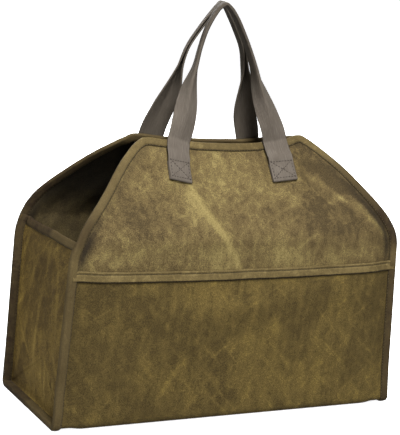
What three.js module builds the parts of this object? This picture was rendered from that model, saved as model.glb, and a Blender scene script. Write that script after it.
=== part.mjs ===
import * as THREE from "three";

// Canvas log carrier: an upright carrier of waxed canvas for firewood.
// One long sheet makes the front wall, the base and the back wall. A flap is sewn to the top of each wall,
// tapers upwards and leans in to the other flap. Two end panels close the box below the shoulders. All the
// cut edges stand out in a flange or lie free, and a folded tape binds them. Two webbing handles are sewn on
// the flaps, fold in half above them and lie side by side at the grip.
// Millimetres, +Z up, X along the logs, the origin at the middle of the base, -Y is the front.

// Box
const bodyWidth = 520;
const shoulderWidth = 497;
const baseDepth = 198;
const shoulderDepth = 190;
const shoulderHeight = 246;
const baseRadius = 10;
const seamHeight = 205;
const seamSag = 4;

// Flaps
const topWidth = 260;
const topHeight = 373;
const mouthWidth = 26;
const topSag = 8.5;
const cornerCut = 2.2;

// Cloth, tape and sewing
const cloth = 2;
const tape = 1.4;
const tapeLap = 10;
const sewnGap = 0.4;
const flangeLength = 12;
const flangeSetBack = 6;
const flangeTilt = 2.6;
const baseSetBack = 0.62;
const bandHeight = 13;

// End panels
const endSag = 5;
const endDent = 6;
const spineFoot = 90;

// Handles
const strapWidth = 38;
const strapThickness = 2;
const strapFoot = 317;
const handleHeight = 554;
const handleSpacing = 162;
const backHandleShift = -22;
const gripGap = 0.7;
const gripTurn = 22;
const leafGap = 0.6;

// Folds of the cloth
const foldDepth = 5;

// Values that follow
const tapeReach = sewnGap + tape;
const baseHalf = bodyWidth / 2 - tapeReach;
const shoulderHalf = shoulderWidth / 2 - tapeReach;
const topHalf = topWidth / 2 - tapeReach;
const clothTop = topHeight - tapeReach;
const mouthHalf = mouthWidth / 2;
const layer = cloth + sewnGap;
const { lerp, smoothstep } = THREE.MathUtils;

// How a flap narrows and leans in from the shoulder to its top edge.
// rise: share of the height; narrow: share of the way from the shoulder's width to the top's;
// edge and middle: share of the way from the wall's depth to the mouth, at the slant and half way along.
const flapRows = [
  { rise: 0, narrow: 0, edge: 0, middle: 0 },
  { rise: 0.12, narrow: 0.085, edge: 0.04, middle: 0.085 },
  { rise: 0.25, narrow: 0.193, edge: 0.125, middle: 0.23 },
  { rise: 0.5, narrow: 0.435, edge: 0.383, middle: 0.51 },
  { rise: 0.75, narrow: 0.682, edge: 0.7, middle: 0.77 },
  { rise: 0.9, narrow: 0.87, edge: 0.9, middle: 0.92 },
  { rise: 1, narrow: 1, edge: 1, middle: 1 },
];

// Main folds of the two walls and flaps, each a long dent or ridge.
// along: share of half the body's width, up: share of the top's height, where the fold's middle lies;
// turn: degrees from level; long and wide: shares of the body's width; deep: share of the fold depth, in is +.
const frontFolds = [
  { along: 0.62, up: 0.74, turn: -42, long: 0.14, wide: 0.03, deep: 1 },
  { along: 0.5, up: 0.8, turn: -40, long: 0.12, wide: 0.03, deep: -0.5 },
  { along: -0.22, up: 0.74, turn: -66, long: 0.13, wide: 0.025, deep: -0.7 },
  { along: -0.02, up: 0.66, turn: -58, long: 0.12, wide: 0.03, deep: 0.5 },
  { along: -0.44, up: 0.92, turn: 60, long: 0.03, wide: 0.02, deep: 0.6 },
  { along: 0.12, up: 0.93, turn: 10, long: 0.08, wide: 0.03, deep: 0.5 },
  { along: -0.3, up: 0.3, turn: 25, long: 0.2, wide: 0.06, deep: -0.6 },
  { along: 0.45, up: 0.28, turn: -20, long: 0.2, wide: 0.06, deep: -0.6 },
  { along: 0.05, up: 0.42, turn: 4, long: 0.3, wide: 0.04, deep: -0.7 },
];
const backFolds = [
  { along: 0.55, up: 0.75, turn: -44, long: 0.14, wide: 0.03, deep: 0.9 },
  { along: -0.6, up: 0.74, turn: 44, long: 0.14, wide: 0.03, deep: 0.9 },
  { along: -0.05, up: 0.72, turn: 70, long: 0.14, wide: 0.03, deep: -0.6 },
  { along: 0.1, up: 0.4, turn: -4, long: 0.3, wide: 0.04, deep: -0.7 },
  { along: -0.35, up: 0.28, turn: -18, long: 0.2, wide: 0.06, deep: -0.6 },
];

// The two walls with their flaps. shoulder and slant: how much further out than the plain shape the cloth's
// edge lies at the shoulder and half way up the slant, in millimetres.
const front = { folds: frontFolds, left: { shoulder: 0, slant: 0 }, right: { shoulder: 0, slant: 5 } };
const back = { folds: backFolds, left: { shoulder: 9, slant: 5 }, right: { shoulder: 4, slant: 3 } };

// The two legs of a handle from the strap's foot on the flap to the grip.
// rise: share of the height from the strap's foot to the grip; left and right: where each leg's middle lies,
// as shares of half the spacing; fold: how far the strap is folded in half, 0 flat and 1 shut.
const frontLegs = [
  { rise: 0, left: -1, right: 1, fold: 0 },
  { rise: 0.13, left: -0.96, right: 0.98, fold: 0 },
  { rise: 0.25, left: -0.87, right: 0.91, fold: 0.06 },
  { rise: 0.36, left: -0.83, right: 0.76, fold: 0.34 },
  { rise: 0.5, left: -0.77, right: 0.58, fold: 0.55 },
  { rise: 0.62, left: -0.69, right: 0.45, fold: 0.82 },
  { rise: 0.74, left: -0.63, right: 0.29, fold: 0.97 },
  { rise: 0.85, left: -0.54, right: 0.12, fold: 1 },
  { rise: 0.93, left: -0.43, right: -0.02, fold: 1 },
  { rise: 0.98, left: -0.33, right: -0.14, fold: 1 },
  { rise: 1, left: -0.24, right: -0.24, fold: 1 },
];
const backLegs = [
  { rise: 0, left: -1, right: 1, fold: 0 },
  { rise: 0.13, left: -0.97, right: 0.97, fold: 0 },
  { rise: 0.25, left: -0.9, right: 0.89, fold: 0.06 },
  { rise: 0.36, left: -0.79, right: 0.79, fold: 0.34 },
  { rise: 0.5, left: -0.65, right: 0.7, fold: 0.55 },
  { rise: 0.62, left: -0.56, right: 0.64, fold: 0.82 },
  { rise: 0.74, left: -0.44, right: 0.55, fold: 0.97 },
  { rise: 0.85, left: -0.25, right: 0.37, fold: 1 },
  { rise: 0.93, left: -0.11, right: 0.22, fold: 1 },
  { rise: 0.98, left: -0.02, right: 0.12, fold: 1 },
  { rise: 1, left: 0.05, right: 0.05, fold: 1 },
];

// A smooth value between a table's rows, for one column, at a value of its key column
function along(rows, key, column, at) {
  const last = rows.length - 2;
  let i = rows.findIndex((row, n) => n <= last && at <= rows[n + 1][key]);
  i = i < 0 ? last : i;
  const [a, b] = [rows[i], rows[i + 1]];
  const span = b[key] - a[key];
  const slope = (p, q) => (q[column] - p[column]) / (q[key] - p[key]);
  const here = slope(a, b);
  const before = i > 0 ? (slope(rows[i - 1], a) + here) / 2 : here;
  const after = i < last ? (here + slope(b, rows[i + 2])) / 2 : here;
  const t = THREE.MathUtils.clamp((at - a[key]) / span, 0, 1);
  const [t2, t3] = [t * t, t * t * t];
  return (2 * t3 - 3 * t2 + 1) * a[column] + (t3 - 2 * t2 + t) * span * before
    + (3 * t2 - 2 * t3) * b[column] + (t3 - t2) * span * after;
}

// How far the cloth's edge lies from the middle at a height, on the side where x lies
function halfWidth(wall, x, z) {
  const { shoulder, slant } = x < 0 ? wall.left : wall.right;
  const low = Math.min(z / shoulderHeight, 1);
  if (low < 1) return lerp(baseHalf, shoulderHalf + shoulder, low);
  const rise = (z - shoulderHeight) / (clothTop - shoulderHeight);
  const fuller = shoulder * (1 - rise) + slant * 4 * rise * (1 - rise);
  return lerp(shoulderHalf, topHalf, along(flapRows, "rise", "narrow", rise)) + fuller;
}

// How much longer a level way in from the slant is than the square way in
function slantFactor(wall, x, z) {
  return Math.hypot(1, (halfWidth(wall, x, z - 1) - halfWidth(wall, x, z + 1)) / 2);
}

// How far the flange's valley and the flange itself are set back behind the wall, at a distance from the
// cloth's edge
function setBack(fromEdge) {
  const valley = flangeSetBack * (1 - smoothstep(fromEdge, flangeLength, flangeLength * 3.5));
  const flange = flangeSetBack - flangeTilt * (1 - fromEdge / flangeLength);
  return fromEdge < flangeLength ? flange : valley;
}

// The share of the set back that is left near the base, so that the tape there clears the floor
function seamDepth(z) {
  return lerp(baseSetBack, 1, smoothstep(z, baseRadius, baseRadius * 6));
}

// The folds' depth at a place on a wall or flap
function foldAt(folds, x, z) {
  const total = folds.reduce((sum, fold) => {
    const angle = THREE.MathUtils.degToRad(fold.turn);
    const dx = x - fold.along * bodyWidth / 2;
    const dz = z - fold.up * topHeight;
    const run = (dx * Math.cos(angle) + dz * Math.sin(angle)) / (fold.long * bodyWidth);
    const side = (dz * Math.cos(angle) - dx * Math.sin(angle)) / (fold.wide * bodyWidth);
    return sum + fold.deep * Math.exp(-run * run - side * side);
  }, 0);
  return foldDepth * total * smoothstep(z, baseRadius, baseRadius * 3);
}

// How far a wall or flap lies from the middle of the carrier, at a place on it
function wallDepth(wall, x, z) {
  const half = halfWidth(wall, x, z);
  const fromEdge = (half - Math.abs(x)) / slantFactor(wall, x, z);
  const plain = lerp(baseDepth / 2, shoulderDepth / 2, Math.min(z / shoulderHeight, 1)) - cloth / 2;
  const rise = THREE.MathUtils.clamp((z - shoulderHeight) / (clothTop - shoulderHeight), 0, 1);
  const share = Math.min(Math.abs(x) / half, 1);
  const middle = along(flapRows, "rise", "middle", rise);
  const lean = lerp(middle, along(flapRows, "rise", "edge", rise), share * share);
  const fade = seamDepth(z) * (1 - smoothstep(rise, 0, 0.45));
  const calm = smoothstep(fromEdge, flangeLength, flangeLength * 4);
  return lerp(plain, mouthHalf, lean) - setBack(fromEdge) * fade - foldAt(wall.folds, x, z) * calm;
}

// Columns of the cloth from the left edge to the right one, as places across it at a height
const edgeColumns = [0, 1, 1.5, 2.8].map((share) => share * flangeLength);
const innerColumns = 11;
function across(wall, z) {
  const edge = (side) => {
    const half = halfWidth(wall, side, z);
    return edgeColumns.map((distance) => side * (half - distance * slantFactor(wall, side, z)));
  };
  const [left, right] = [edge(-1), edge(1)];
  const [from, to] = [left.pop(), right.pop()];
  const middle = Array.from({ length: innerColumns + 1 }, (_, i) => lerp(from, to, i / innerColumns));
  return [...left, ...middle, ...right.reverse()];
}

// Heights of the rows of cloth: up the wall to the seam, up to the shoulder, and up the flap
const wallHeights = [1, 0.955, 0.86, 0.74, 0.6, 0.45, 0.3, 0.17].map((share) => share * seamHeight);
const shoulderHeights = [0, 0.33, 0.67, 1].map((share) => lerp(seamHeight, shoulderHeight, share));
const flapShares = [0.08, 0.17, 0.27, 0.38, 0.5, 0.61, 0.72, 0.82];

// Middle points of the cloth in one row across the front wall, and the same row round the base
function frontRow(wall, z) {
  const up = z / seamHeight;
  const hump = up < 1 ? smoothstep(up, 0, 1) : 1 - smoothstep(z, seamHeight, shoulderHeight);
  return across(wall, z).map((x) => {
    const low = z - seamSag * hump * (1 - (x / halfWidth(wall, x, z)) ** 2);
    return new THREE.Vector3(x, -wallDepth(wall, x, low), low);
  });
}
function baseRow(wall, y, z, out) {
  return across(wall, 0).map((x) => {
    const inward = setBack(baseHalf - Math.abs(x)) * baseSetBack;
    return new THREE.Vector3(x, y - out.x * inward, z - out.y * inward);
  });
}

// Rows from the foot of the front wall to the middle of the base
function halfBase(wall) {
  const rows = [];
  const foot = baseDepth / 2 - cloth / 2;
  const bend = baseRadius - cloth / 2;
  const steps = 4;
  for (let i = 0; i <= steps; i++) {
    const angle = Math.PI / 2 * i / steps;
    const out = new THREE.Vector2(-Math.cos(angle), -Math.sin(angle));
    const y = -foot + bend + out.x * bend;
    rows.push(baseRow(wall, y, baseRadius + out.y * bend, out));
  }
  const flat = foot - bend;
  const down = new THREE.Vector2(0, -1);
  for (const share of [0.66, 0.33, 0]) rows.push(baseRow(wall, -flat * share, cloth / 2, down));
  return rows;
}

const mirrored = (row) => row.map((point) => new THREE.Vector3(point.x, -point.y, point.z));

// The cloth's rows from the seam on the front wall, under the base, to the seam on the back wall
const nearSeam = (z, side) => z + side * sewnGap / 2;
function slingHalf(wall) {
  const upright = wallHeights.map((z, i) => frontRow(wall, i ? z : nearSeam(z, -1)));
  return [...upright, ...halfBase(wall)];
}
const slingRows = [
  ...slingHalf(front),
  ...slingHalf(back).slice(0, -1).map(mirrored).reverse(),
];

// A flap's rows from the seam to its top edge, with a sagging top edge and cut corners
function flapRowsOf(wall) {
  const low = shoulderHeights.map((z, i) => frontRow(wall, i ? z : nearSeam(z, 1)));
  const height = clothTop - shoulderHeight;
  const lapShare = 1 - 1.2 * tapeLap / height;
  const high = [...flapShares, lapShare, 1].map((rise) => {
    const edgeHeight = shoulderHeight + height * rise;
    return across(wall, edgeHeight).map((x) => {
      const half = halfWidth(wall, x, edgeHeight);
      const share = x / half;
      const corner = rise === 1 && Math.abs(share) > 0.999 ? cornerCut : 0;
      const z = edgeHeight - topSag * rise * (1 - share * share) - corner;
      const inner = x * (1 - corner / half);
      return new THREE.Vector3(inner, -wallDepth(wall, inner, z), z);
    });
  });
  return [...low, ...high];
}

// The ring of flange stations on one side: the cloth's edge, the way out and the way the outer face looks
function flangeStations(rows, side) {
  const pick = (row) => (side < 0 ? [row[0], row[1]] : [row.at(-1), row.at(-2)]);
  const ends = rows.map(pick);
  return ends.map(([tip, inner], i) => {
    const before = ends[Math.max(i - 1, 0)][0];
    const after = ends[Math.min(i + 1, ends.length - 1)][0];
    const run = after.clone().sub(before).normalize();
    const out = tip.clone().sub(inner).normalize();
    out.addScaledVector(run, -out.dot(run)).normalize();
    const face = new THREE.Vector3().crossVectors(out, run).multiplyScalar(-side).normalize();
    return { at: tip.clone(), out, face };
  });
}

// Fine solids from points and triangles, turned so that their faces look out
function solid(points, triangles) {
  const volume = triangles.reduce((sum, [a, b, c]) => {
    const cross = new THREE.Vector3().crossVectors(points[b], points[c]);
    return sum + points[a].dot(cross);
  }, 0);
  const order = volume > 0 ? triangles : triangles.map(([a, b, c]) => [a, c, b]);
  const geometry = new THREE.BufferGeometry();
  const numbers = points.flatMap((point) => point.toArray());
  geometry.setAttribute("position", new THREE.Float32BufferAttribute(numbers, 3));
  geometry.setIndex(order.flat());
  geometry.computeVertexNormals();
  return geometry;
}

// A sheet of cloth from the rows of points on its middle surface; points that coincide are one
function sheet(rows, thickness) {
  const points = [];
  const places = new Map();
  const number = (point) => {
    const key = point.toArray().map((value) => Math.round(value * 1000)).join();
    if (!places.has(key)) {
      places.set(key, points.length);
      points.push(point);
    }
    return places.get(key);
  };
  const grid = rows.map((row) => row.map(number));
  const faces = [];
  for (let i = 0; i + 1 < grid.length; i++) {
    for (let j = 0; j + 1 < grid[i].length; j++) {
      const [a, b, c, d] = [grid[i][j], grid[i][j + 1], grid[i + 1][j + 1], grid[i + 1][j]];
      const short = points[a].distanceTo(points[c]) <= points[b].distanceTo(points[d]);
      faces.push(...(short ? [[a, b, c], [a, c, d]] : [[a, b, d], [b, c, d]]));
    }
  }
  const real = faces.filter(([a, b, c]) => a !== b && b !== c && c !== a);
  const normals = points.map(() => new THREE.Vector3());
  for (const [a, b, c] of real) {
    const first = points[b].clone().sub(points[a]);
    const normal = first.cross(points[c].clone().sub(points[a]));
    for (const corner of [a, b, c]) normals[corner].add(normal);
  }
  const shifted = (side) => points.map((point, i) => {
    return point.clone().addScaledVector(normals[i].clone().normalize(), side * thickness / 2);
  });
  const count = points.length;
  const triangles = real.flatMap(([a, b, c]) => [[a, b, c], [a + count, c + count, b + count]]);
  const edges = new Set(real.flatMap(([a, b, c]) => [`${a},${b}`, `${b},${c}`, `${c},${a}`]));
  for (const edge of edges) {
    const [a, b] = edge.split(",").map(Number);
    if (edges.has(`${b},${a}`)) continue;
    triangles.push([b, a, a + count], [b, a + count, b + count]);
  }
  return solid([...shifted(1), ...shifted(-1)], triangles);
}

// A strip swept through stations; section gives its outline at a station, as pairs along out and face
function strip(stations, section) {
  const outlines = stations.map(section);
  const count = outlines[0].length;
  const points = stations.flatMap((station, i) => outlines[i].map(([out, face]) => {
    return station.at.clone().addScaledVector(station.out, out).addScaledVector(station.face, face);
  }));
  const triangles = [];
  for (let i = 0; i + 1 < stations.length; i++) {
    for (let j = 0; j < count; j++) {
      const [a, b] = [i * count + j, i * count + (j + 1) % count];
      triangles.push([a, b, b + count], [a, b + count, a + count]);
    }
  }
  const cap = (outline) => {
    const flat = outline.map(([u, v]) => new THREE.Vector2(u, v));
    const filled = THREE.ShapeUtils.triangulateShape(flat, []);
    const turn = THREE.ShapeUtils.isClockWise(filled[0].map((i) => flat[i]));
    return turn === THREE.ShapeUtils.isClockWise(flat) ? filled : filled.map(([a, b, c]) => [c, b, a]);
  };
  const last = (stations.length - 1) * count;
  triangles.push(...cap(outlines[0]).map(([a, b, c]) => [c, b, a]));
  triangles.push(...cap(outlines.at(-1)).map(([a, b, c]) => [a + last, b + last, c + last]));
  return solid(points, triangles);
}

// A folded tape's outline round layers of cloth: the nearest layer's middle is at 0
function tapeOutline(layers) {
  const front = cloth / 2 + sewnGap;
  const back = -front - (layers - 1) * layer;
  return [
    [-tapeLap, front + tape], [tapeReach, front + tape], [tapeReach, back - tape], [-tapeLap, back - tape],
    [-tapeLap, back], [sewnGap, back], [sewnGap, front], [-tapeLap, front],
  ];
}

// Stations with the first and last one moved along the path, to leave a gap
function trimmed(stations, start, end) {
  const list = stations.map((station) => ({ ...station, at: station.at.clone() }));
  const move = (station, next, distance) => {
    station.at.addScaledVector(next.at.clone().sub(station.at).normalize(), distance);
  };
  move(list[0], list[1], start);
  move(list.at(-1), list.at(-2), end);
  return list;
}

// The end panel: a flange inside the walls' flange, a bend, and a wall that fills in to its middle line
const bendColumns = [
  { out: 0, in: 0 },
  { out: -0.88, in: 0 },
  { out: -1.03, in: 0.1 },
  { out: -1.1, in: 0.2 },
];
const wallShares = [0, 0.3, 0.65, 1];
function endRows(stations, side) {
  const middle = (stations.length - 1) / 2;
  const half = stations.slice(0, middle + 1);
  const foot = half.findIndex((station) => station.at.z < spineFoot);
  return half.map((station, i) => {
    const low = Math.max(i - foot, 0) / (middle - foot);
    const spineHeight = i < foot ? station.at.z : spineFoot * (1 - 0.5 * low);
    const flange = (other) => bendColumns.map((column) => {
      const point = other.at.clone().addScaledVector(other.out, column.out * flangeLength);
      return point.addScaledVector(other.face, -layer - column.in * flangeLength);
    });
    const fill = (start) => wallShares.slice(1).map((share) => {
      const y = lerp(start.y, 0, share);
      const z = lerp(start.z, spineHeight, share);
      const level = 1 - (y / (shoulderDepth / 2)) ** 2;
      const rise = z / shoulderHeight;
      const sag = endSag * level * smoothstep(rise, 0.5, 1);
      const dent = endDent * level * Math.sin(Math.PI * THREE.MathUtils.clamp(rise, 0, 1) ** 1.3);
      return new THREE.Vector3(start.x - side * dent, y, z - sag);
    });
    const front = flange(station);
    const back = flange(stations.at(-1 - i));
    const frontWall = fill(front.at(-1));
    const backWall = fill(back.at(-1));
    return [...front, ...frontWall, ...backWall.slice(0, -1).reverse(), ...back.reverse()];
  });
}

// Stations along the top edge of an end panel, between its flanges
function endEdge(rows, side) {
  const skip = bendColumns.length - 1;
  const [top, below] = [rows[0].slice(skip, -skip), rows[1].slice(skip, -skip)];
  return top.map((point, i) => {
    const before = top[Math.max(i - 1, 0)];
    const after = top[Math.min(i + 1, top.length - 1)];
    const run = after.clone().sub(before).normalize();
    const out = point.clone().sub(below[i]);
    out.addScaledVector(run, -out.dot(run)).normalize();
    const face = new THREE.Vector3().crossVectors(run, out).multiplyScalar(side);
    return { at: point.clone(), out, face };
  });
}

// Stations round a flap's free edge: up one slant, along the top, down the other slant. The way out follows
// the rows and columns of the cloth, and is longer than 1 where they meet the edge at a slant.
function flapEdge(rows) {
  const slant = rows.slice(shoulderHeights.length - 1);
  const rim = [];
  for (const row of slant.slice(0, -1)) rim.push([row[0], row[1]]);
  const [below, top] = slant.slice(-2);
  top.forEach((point, j) => {
    const inner = THREE.MathUtils.clamp(j, 1, top.length - 2);
    rim.push([point, below[inner]]);
  });
  for (const row of slant.slice(0, -1).reverse()) rim.push([row.at(-1), row.at(-2)]);
  return rim.map(([tip, inner], i) => {
    const before = rim[Math.max(i - 1, 0)][0];
    const after = rim[Math.min(i + 1, rim.length - 1)][0];
    const run = after.clone().sub(before).normalize();
    const out = tip.clone().sub(inner).normalize();
    const face = new THREE.Vector3().crossVectors(run, out);
    out.divideScalar(face.length());
    return { at: tip.clone(), out, face: face.normalize() };
  });
}

// Stations of the band that covers the seam on a wall
function bandStations(wall) {
  const row = frontRow(wall, seamHeight).slice(1, -1);
  const up = frontRow(wall, seamHeight + bandHeight / 2).slice(1, -1);
  const down = frontRow(wall, seamHeight - bandHeight / 2).slice(1, -1);
  return row.map((point, i) => {
    const out = up[i].clone().sub(down[i]).normalize();
    const run = row[Math.min(i + 1, row.length - 1)].clone().sub(row[Math.max(i - 1, 0)]).normalize();
    const face = new THREE.Vector3().crossVectors(run, out).normalize();
    return { at: point, out, face };
  });
}
function bandOutline() {
  const inner = cloth / 2 + sewnGap;
  const half = bandHeight / 2;
  return [[-half, inner], [half, inner], [half, inner + tape], [-half, inner + tape]];
}

// The strap's outline when it is folded in half: two leaves that meet in a crease on the outer side
function strapOutline(fold) {
  const angle = fold * Math.PI / 2;
  const [sin, cos] = [Math.sin(angle), Math.cos(angle)];
  const half = strapThickness / 2;
  const apart = lerp(half / 2, half + leafGap / 2, sin);
  const leaf = strapWidth / 2 - half / 2;
  const crease = leaf / 2 * sin;
  const outer = crease + half * cos + strapThickness * sin;
  const inner = crease - half * cos;
  const tip = [crease - leaf * sin, apart + leaf * cos];
  return [
    [tip[0] + half * cos, tip[1] + half * sin],
    [outer, apart + half * sin],
    [outer, -apart - half * sin],
    [tip[0] + half * cos, -tip[1] - half * sin],
    [tip[0] - half * cos, -tip[1] + half * sin],
    [inner, -apart + half * sin],
    [inner, apart - half * sin],
    [tip[0] - half * cos, tip[1] - half * sin],
  ];
}

// A handle's stations, for the front side; the back one is turned over afterwards
function handleStations(wall, legs, shift, turn) {
  const half = handleSpacing / 2;
  const stack = strapThickness + leafGap / 2;
  const grip = handleHeight - stack;
  const place = (row, leg) => {
    return new THREE.Vector3(row[leg] * half + shift, row.fold, lerp(strapFoot, grip, row.rise));
  };
  const left = legs.map((row) => place(row, "left"));
  const right = legs.slice(0, -1).map((row) => place(row, "right")).reverse();
  const curve = new THREE.CatmullRomCurve3([...left, ...right], false, "centripetal");
  const steps = 58;
  const samples = Array.from({ length: steps + 1 }, (_, i) => curve.getPoint(i / steps));
  const flatOffset = cloth / 2 + 1.5 * sewnGap + strapThickness / 2;
  const overTape = flatOffset + tape + sewnGap;
  const gripDepth = strapWidth / 4 + strapThickness + gripGap / 2;
  const top = clothTop - topSag * 0.6;
  const reach = strapWidth / 2;
  const step = tapeLap / 2;
  const points = samples.map(({ x, y: fold, z }) => {
    const low = Math.min(z, top);
    const turnOff = (wallDepth(wall, x + reach, low) - wallDepth(wall, x - reach, low)) / (2 * reach);
    const climb = wallDepth(wall, x, low + step) - wallDepth(wall, x, low - step);
    const lean = new THREE.Vector3(turnOff, 1, climb / (2 * step));
    const proud = [-1, -0.5, 0, 0.5, 1].map((share) => {
      return wallDepth(wall, x + share * reach, low) - share * reach * turnOff;
    });
    const lift = lerp(flatOffset, overTape, smoothstep(z, top - 3 * tapeLap, top - 1.6 * tapeLap));
    const onFlap = Math.max(...proud) + lift * lean.length();
    const free = smoothstep(z, top, lerp(top, grip, 0.5));
    const depth = lerp(onFlap, gripDepth, free);
    return { x, z, fold, depth, lean, free };
  });
  const turned = points.map(({ x, depth, z }) => new THREE.Vector3(x, -depth, z));
  return points.map(({ fold, lean, free }, i) => {
    const before = turned[Math.max(i - 1, 0)];
    const after = turned[Math.min(i + 1, turned.length - 1)];
    const run = after.clone().sub(before).normalize();
    const angle = THREE.MathUtils.degToRad(turn);
    const flat = new THREE.Vector3(-lean.x, -1, -lean.z).normalize();
    const held = new THREE.Vector3(-Math.sin(angle), -Math.cos(angle), 0);
    const out = flat.lerp(held, free);
    out.addScaledVector(run, -out.dot(run)).normalize();
    const face = new THREE.Vector3().crossVectors(run, out);
    return { at: turned[i], out, face, fold: THREE.MathUtils.clamp(fold, 0, 1) };
  });
}

// Turns a solid of the front side round to the back
function toBack(geometry) {
  geometry.scale(1, -1, 1);
  const order = geometry.index.array;
  for (let i = 0; i < order.length; i += 3) [order[i], order[i + 1]] = [order[i + 1], order[i]];
  geometry.computeVertexNormals();
  return geometry;
}

// Colours and finishes
const finishes = {
  lowerCanvas: { color: 0x64552f, roughness: 0.78, metalness: 0 },
  upperCanvas: { color: 0x7d6f49, roughness: 0.76, metalness: 0 },
  endCanvas: { color: 0x5c4c2a, roughness: 0.8, metalness: 0 },
  tape: { color: 0x6c6143, roughness: 0.82, metalness: 0 },
  webbing: { color: 0x756c62, roughness: 0.85, metalness: 0 },
};
const group = new THREE.Group();
function add(name, geometry, finish) {
  const mesh = new THREE.Mesh(geometry, new THREE.MeshStandardMaterial(finishes[finish]));
  mesh.name = name;
  group.add(mesh);
}

// Body
add("lower_body", sheet(slingRows, cloth), "lowerCanvas");
const sides = [
  { name: "front", wall: front, legs: frontLegs, shift: 0, turn: gripTurn, place: (shape) => shape },
  { name: "back", wall: back, legs: backLegs, shift: backHandleShift, turn: -gripTurn, place: toBack },
];
for (const { name, wall, legs, shift, turn, place } of sides) {
  const rows = flapRowsOf(wall);
  const rim = trimmed(flapEdge(rows), sewnGap, sewnGap);
  const stations = handleStations(wall, legs, shift, turn);
  add(`${name}_flap`, place(sheet(rows, cloth)), "upperCanvas");
  add(`${name}_flap_binding`, place(strip(rim, () => tapeOutline(1))), "tape");
  add(`${name}_band`, place(strip(bandStations(wall), bandOutline)), "tape");
  add(`${name}_handle`, place(strip(stations, ({ fold }) => strapOutline(fold))), "webbing");
}

// Ends: the same stations carry the walls' flange, the end panel's flange and the tape round both
const upperRows = (wall) => shoulderHeights.map((z) => frontRow(wall, z)).reverse();
const ringRows = [
  ...upperRows(front),
  ...slingRows.slice(1, -1),
  ...upperRows(back).map(mirrored).reverse(),
];
for (const [name, side] of [["left", -1], ["right", 1]]) {
  const stations = flangeStations(ringRows, side);
  const rows = endRows(stations, side);
  add(`${name}_end_panel`, sheet(rows, cloth), "endCanvas");
  add(`${name}_seam_binding`, strip(trimmed(stations, sewnGap, sewnGap), () => tapeOutline(2)), "tape");
  add(`${name}_end_binding`, strip(trimmed(endEdge(rows, side), cloth, cloth), () => tapeOutline(1)), "tape");
}

export default group;
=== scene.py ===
# %% [markdown]
# # Canvas log carrier
# An upright carrier of waxed canvas for firewood. One long sheet makes both walls and the base, a flap
# stands on each wall, two end panels close the box, tape binds every cut edge and two webbing handles meet
# at the grip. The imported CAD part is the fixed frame. Each soft solid in it is replaced here by a finer
# piece that is made from the same named sizes, so the pieces meet where the CAD says, and the frame itself
# is never changed.

# %% Load the frame
import math

import bmesh
import bpy
import numpy as np
from mathutils import Matrix, Vector, noise


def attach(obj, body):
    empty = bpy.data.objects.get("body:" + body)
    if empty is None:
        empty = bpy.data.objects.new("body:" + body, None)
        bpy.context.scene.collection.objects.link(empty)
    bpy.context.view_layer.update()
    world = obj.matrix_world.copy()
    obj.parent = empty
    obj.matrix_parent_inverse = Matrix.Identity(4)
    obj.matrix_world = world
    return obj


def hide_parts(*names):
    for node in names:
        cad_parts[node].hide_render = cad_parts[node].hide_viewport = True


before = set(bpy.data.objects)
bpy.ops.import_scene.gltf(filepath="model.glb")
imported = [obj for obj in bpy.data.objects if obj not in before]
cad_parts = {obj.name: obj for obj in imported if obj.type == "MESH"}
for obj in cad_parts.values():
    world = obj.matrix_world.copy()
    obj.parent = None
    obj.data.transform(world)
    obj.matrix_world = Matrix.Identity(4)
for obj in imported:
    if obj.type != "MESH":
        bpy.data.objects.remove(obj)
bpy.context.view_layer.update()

# %% [markdown]
# ## The camera, light and floor
# The photograph was taken a little from the left and from above, with a long lens and a slight roll. A
# camera can be aimed by eye or worked out from points that are known on the object. Here it comes from the
# corners of the box and the ends of the seams, so the angles below are the result of that fit, and the
# image plane isn't shifted.

# %% Aim the camera
AZIMUTH, ELEVATION, ROLL = math.radians(-28.40), math.radians(11.373), math.radians(5.124)
DISTANCE = 1.97093
# the photograph's long side and the fitted focal length, in its pixels, and the width of the film in mm
LONG_SIDE, FOCAL, FILM_WIDTH = 435, 1394.05, 36
NEAR, FAR = 0.05, 50
AIM = Vector((-0.00137, 0.03851, 0.24869))


def new_object(name, data):
    made = bpy.data.objects.new(name, data)
    bpy.context.scene.collection.objects.link(made)
    return made


def aim_camera():
    flat = math.cos(ELEVATION)
    back = Vector((math.sin(AZIMUTH) * flat, -math.cos(AZIMUTH) * flat, math.sin(ELEVATION)))
    right = Vector((math.cos(AZIMUTH), math.sin(AZIMUTH), 0))
    up = back.cross(right)
    level = Matrix((right, up, back)).transposed()
    data = bpy.data.cameras.new("camera")
    data.sensor_width = FILM_WIDTH
    data.lens = FOCAL / LONG_SIDE * FILM_WIDTH
    data.clip_start, data.clip_end = NEAR, FAR
    camera = new_object("camera", data)
    turned = level @ Matrix.Rotation(ROLL, 3, "Z")
    camera.matrix_world = Matrix.Translation(AIM + back * DISTANCE) @ turned.to_4x4()
    bpy.context.scene.camera = camera
    return camera


camera = aim_camera()
print("camera at", [round(x, 3) for x in camera.location], "lens", round(camera.data.lens, 2), "mm")

# %% [markdown]
# The light is a studio's. One wide soft lamp hangs high in front, so the leaning flaps are bright and the
# open inside stays dark. Two weak ones stand in front and at the left, for the walls that the first one
# grazes, and one stands behind for the back wall. They could be one bright surround instead, but then the
# carrier's inside would be as light as its outside.

# %% Hang the lamps
LAMP_TARGET = Vector((0, 0, 0.2))
# place, size and power
LAMPS = {
    "key_lamp": ((-0.3, -1.35, 2.4), 1.3, 113),
    "front_lamp": ((0.2, -2.7, 0.8), 1.6, 20),
    "side_lamp": ((-2.4, 0.2, 1.2), 1.0, 20),
    "back_lamp": ((0.9, 2.6, 1.5), 1.2, 110),
}


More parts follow.
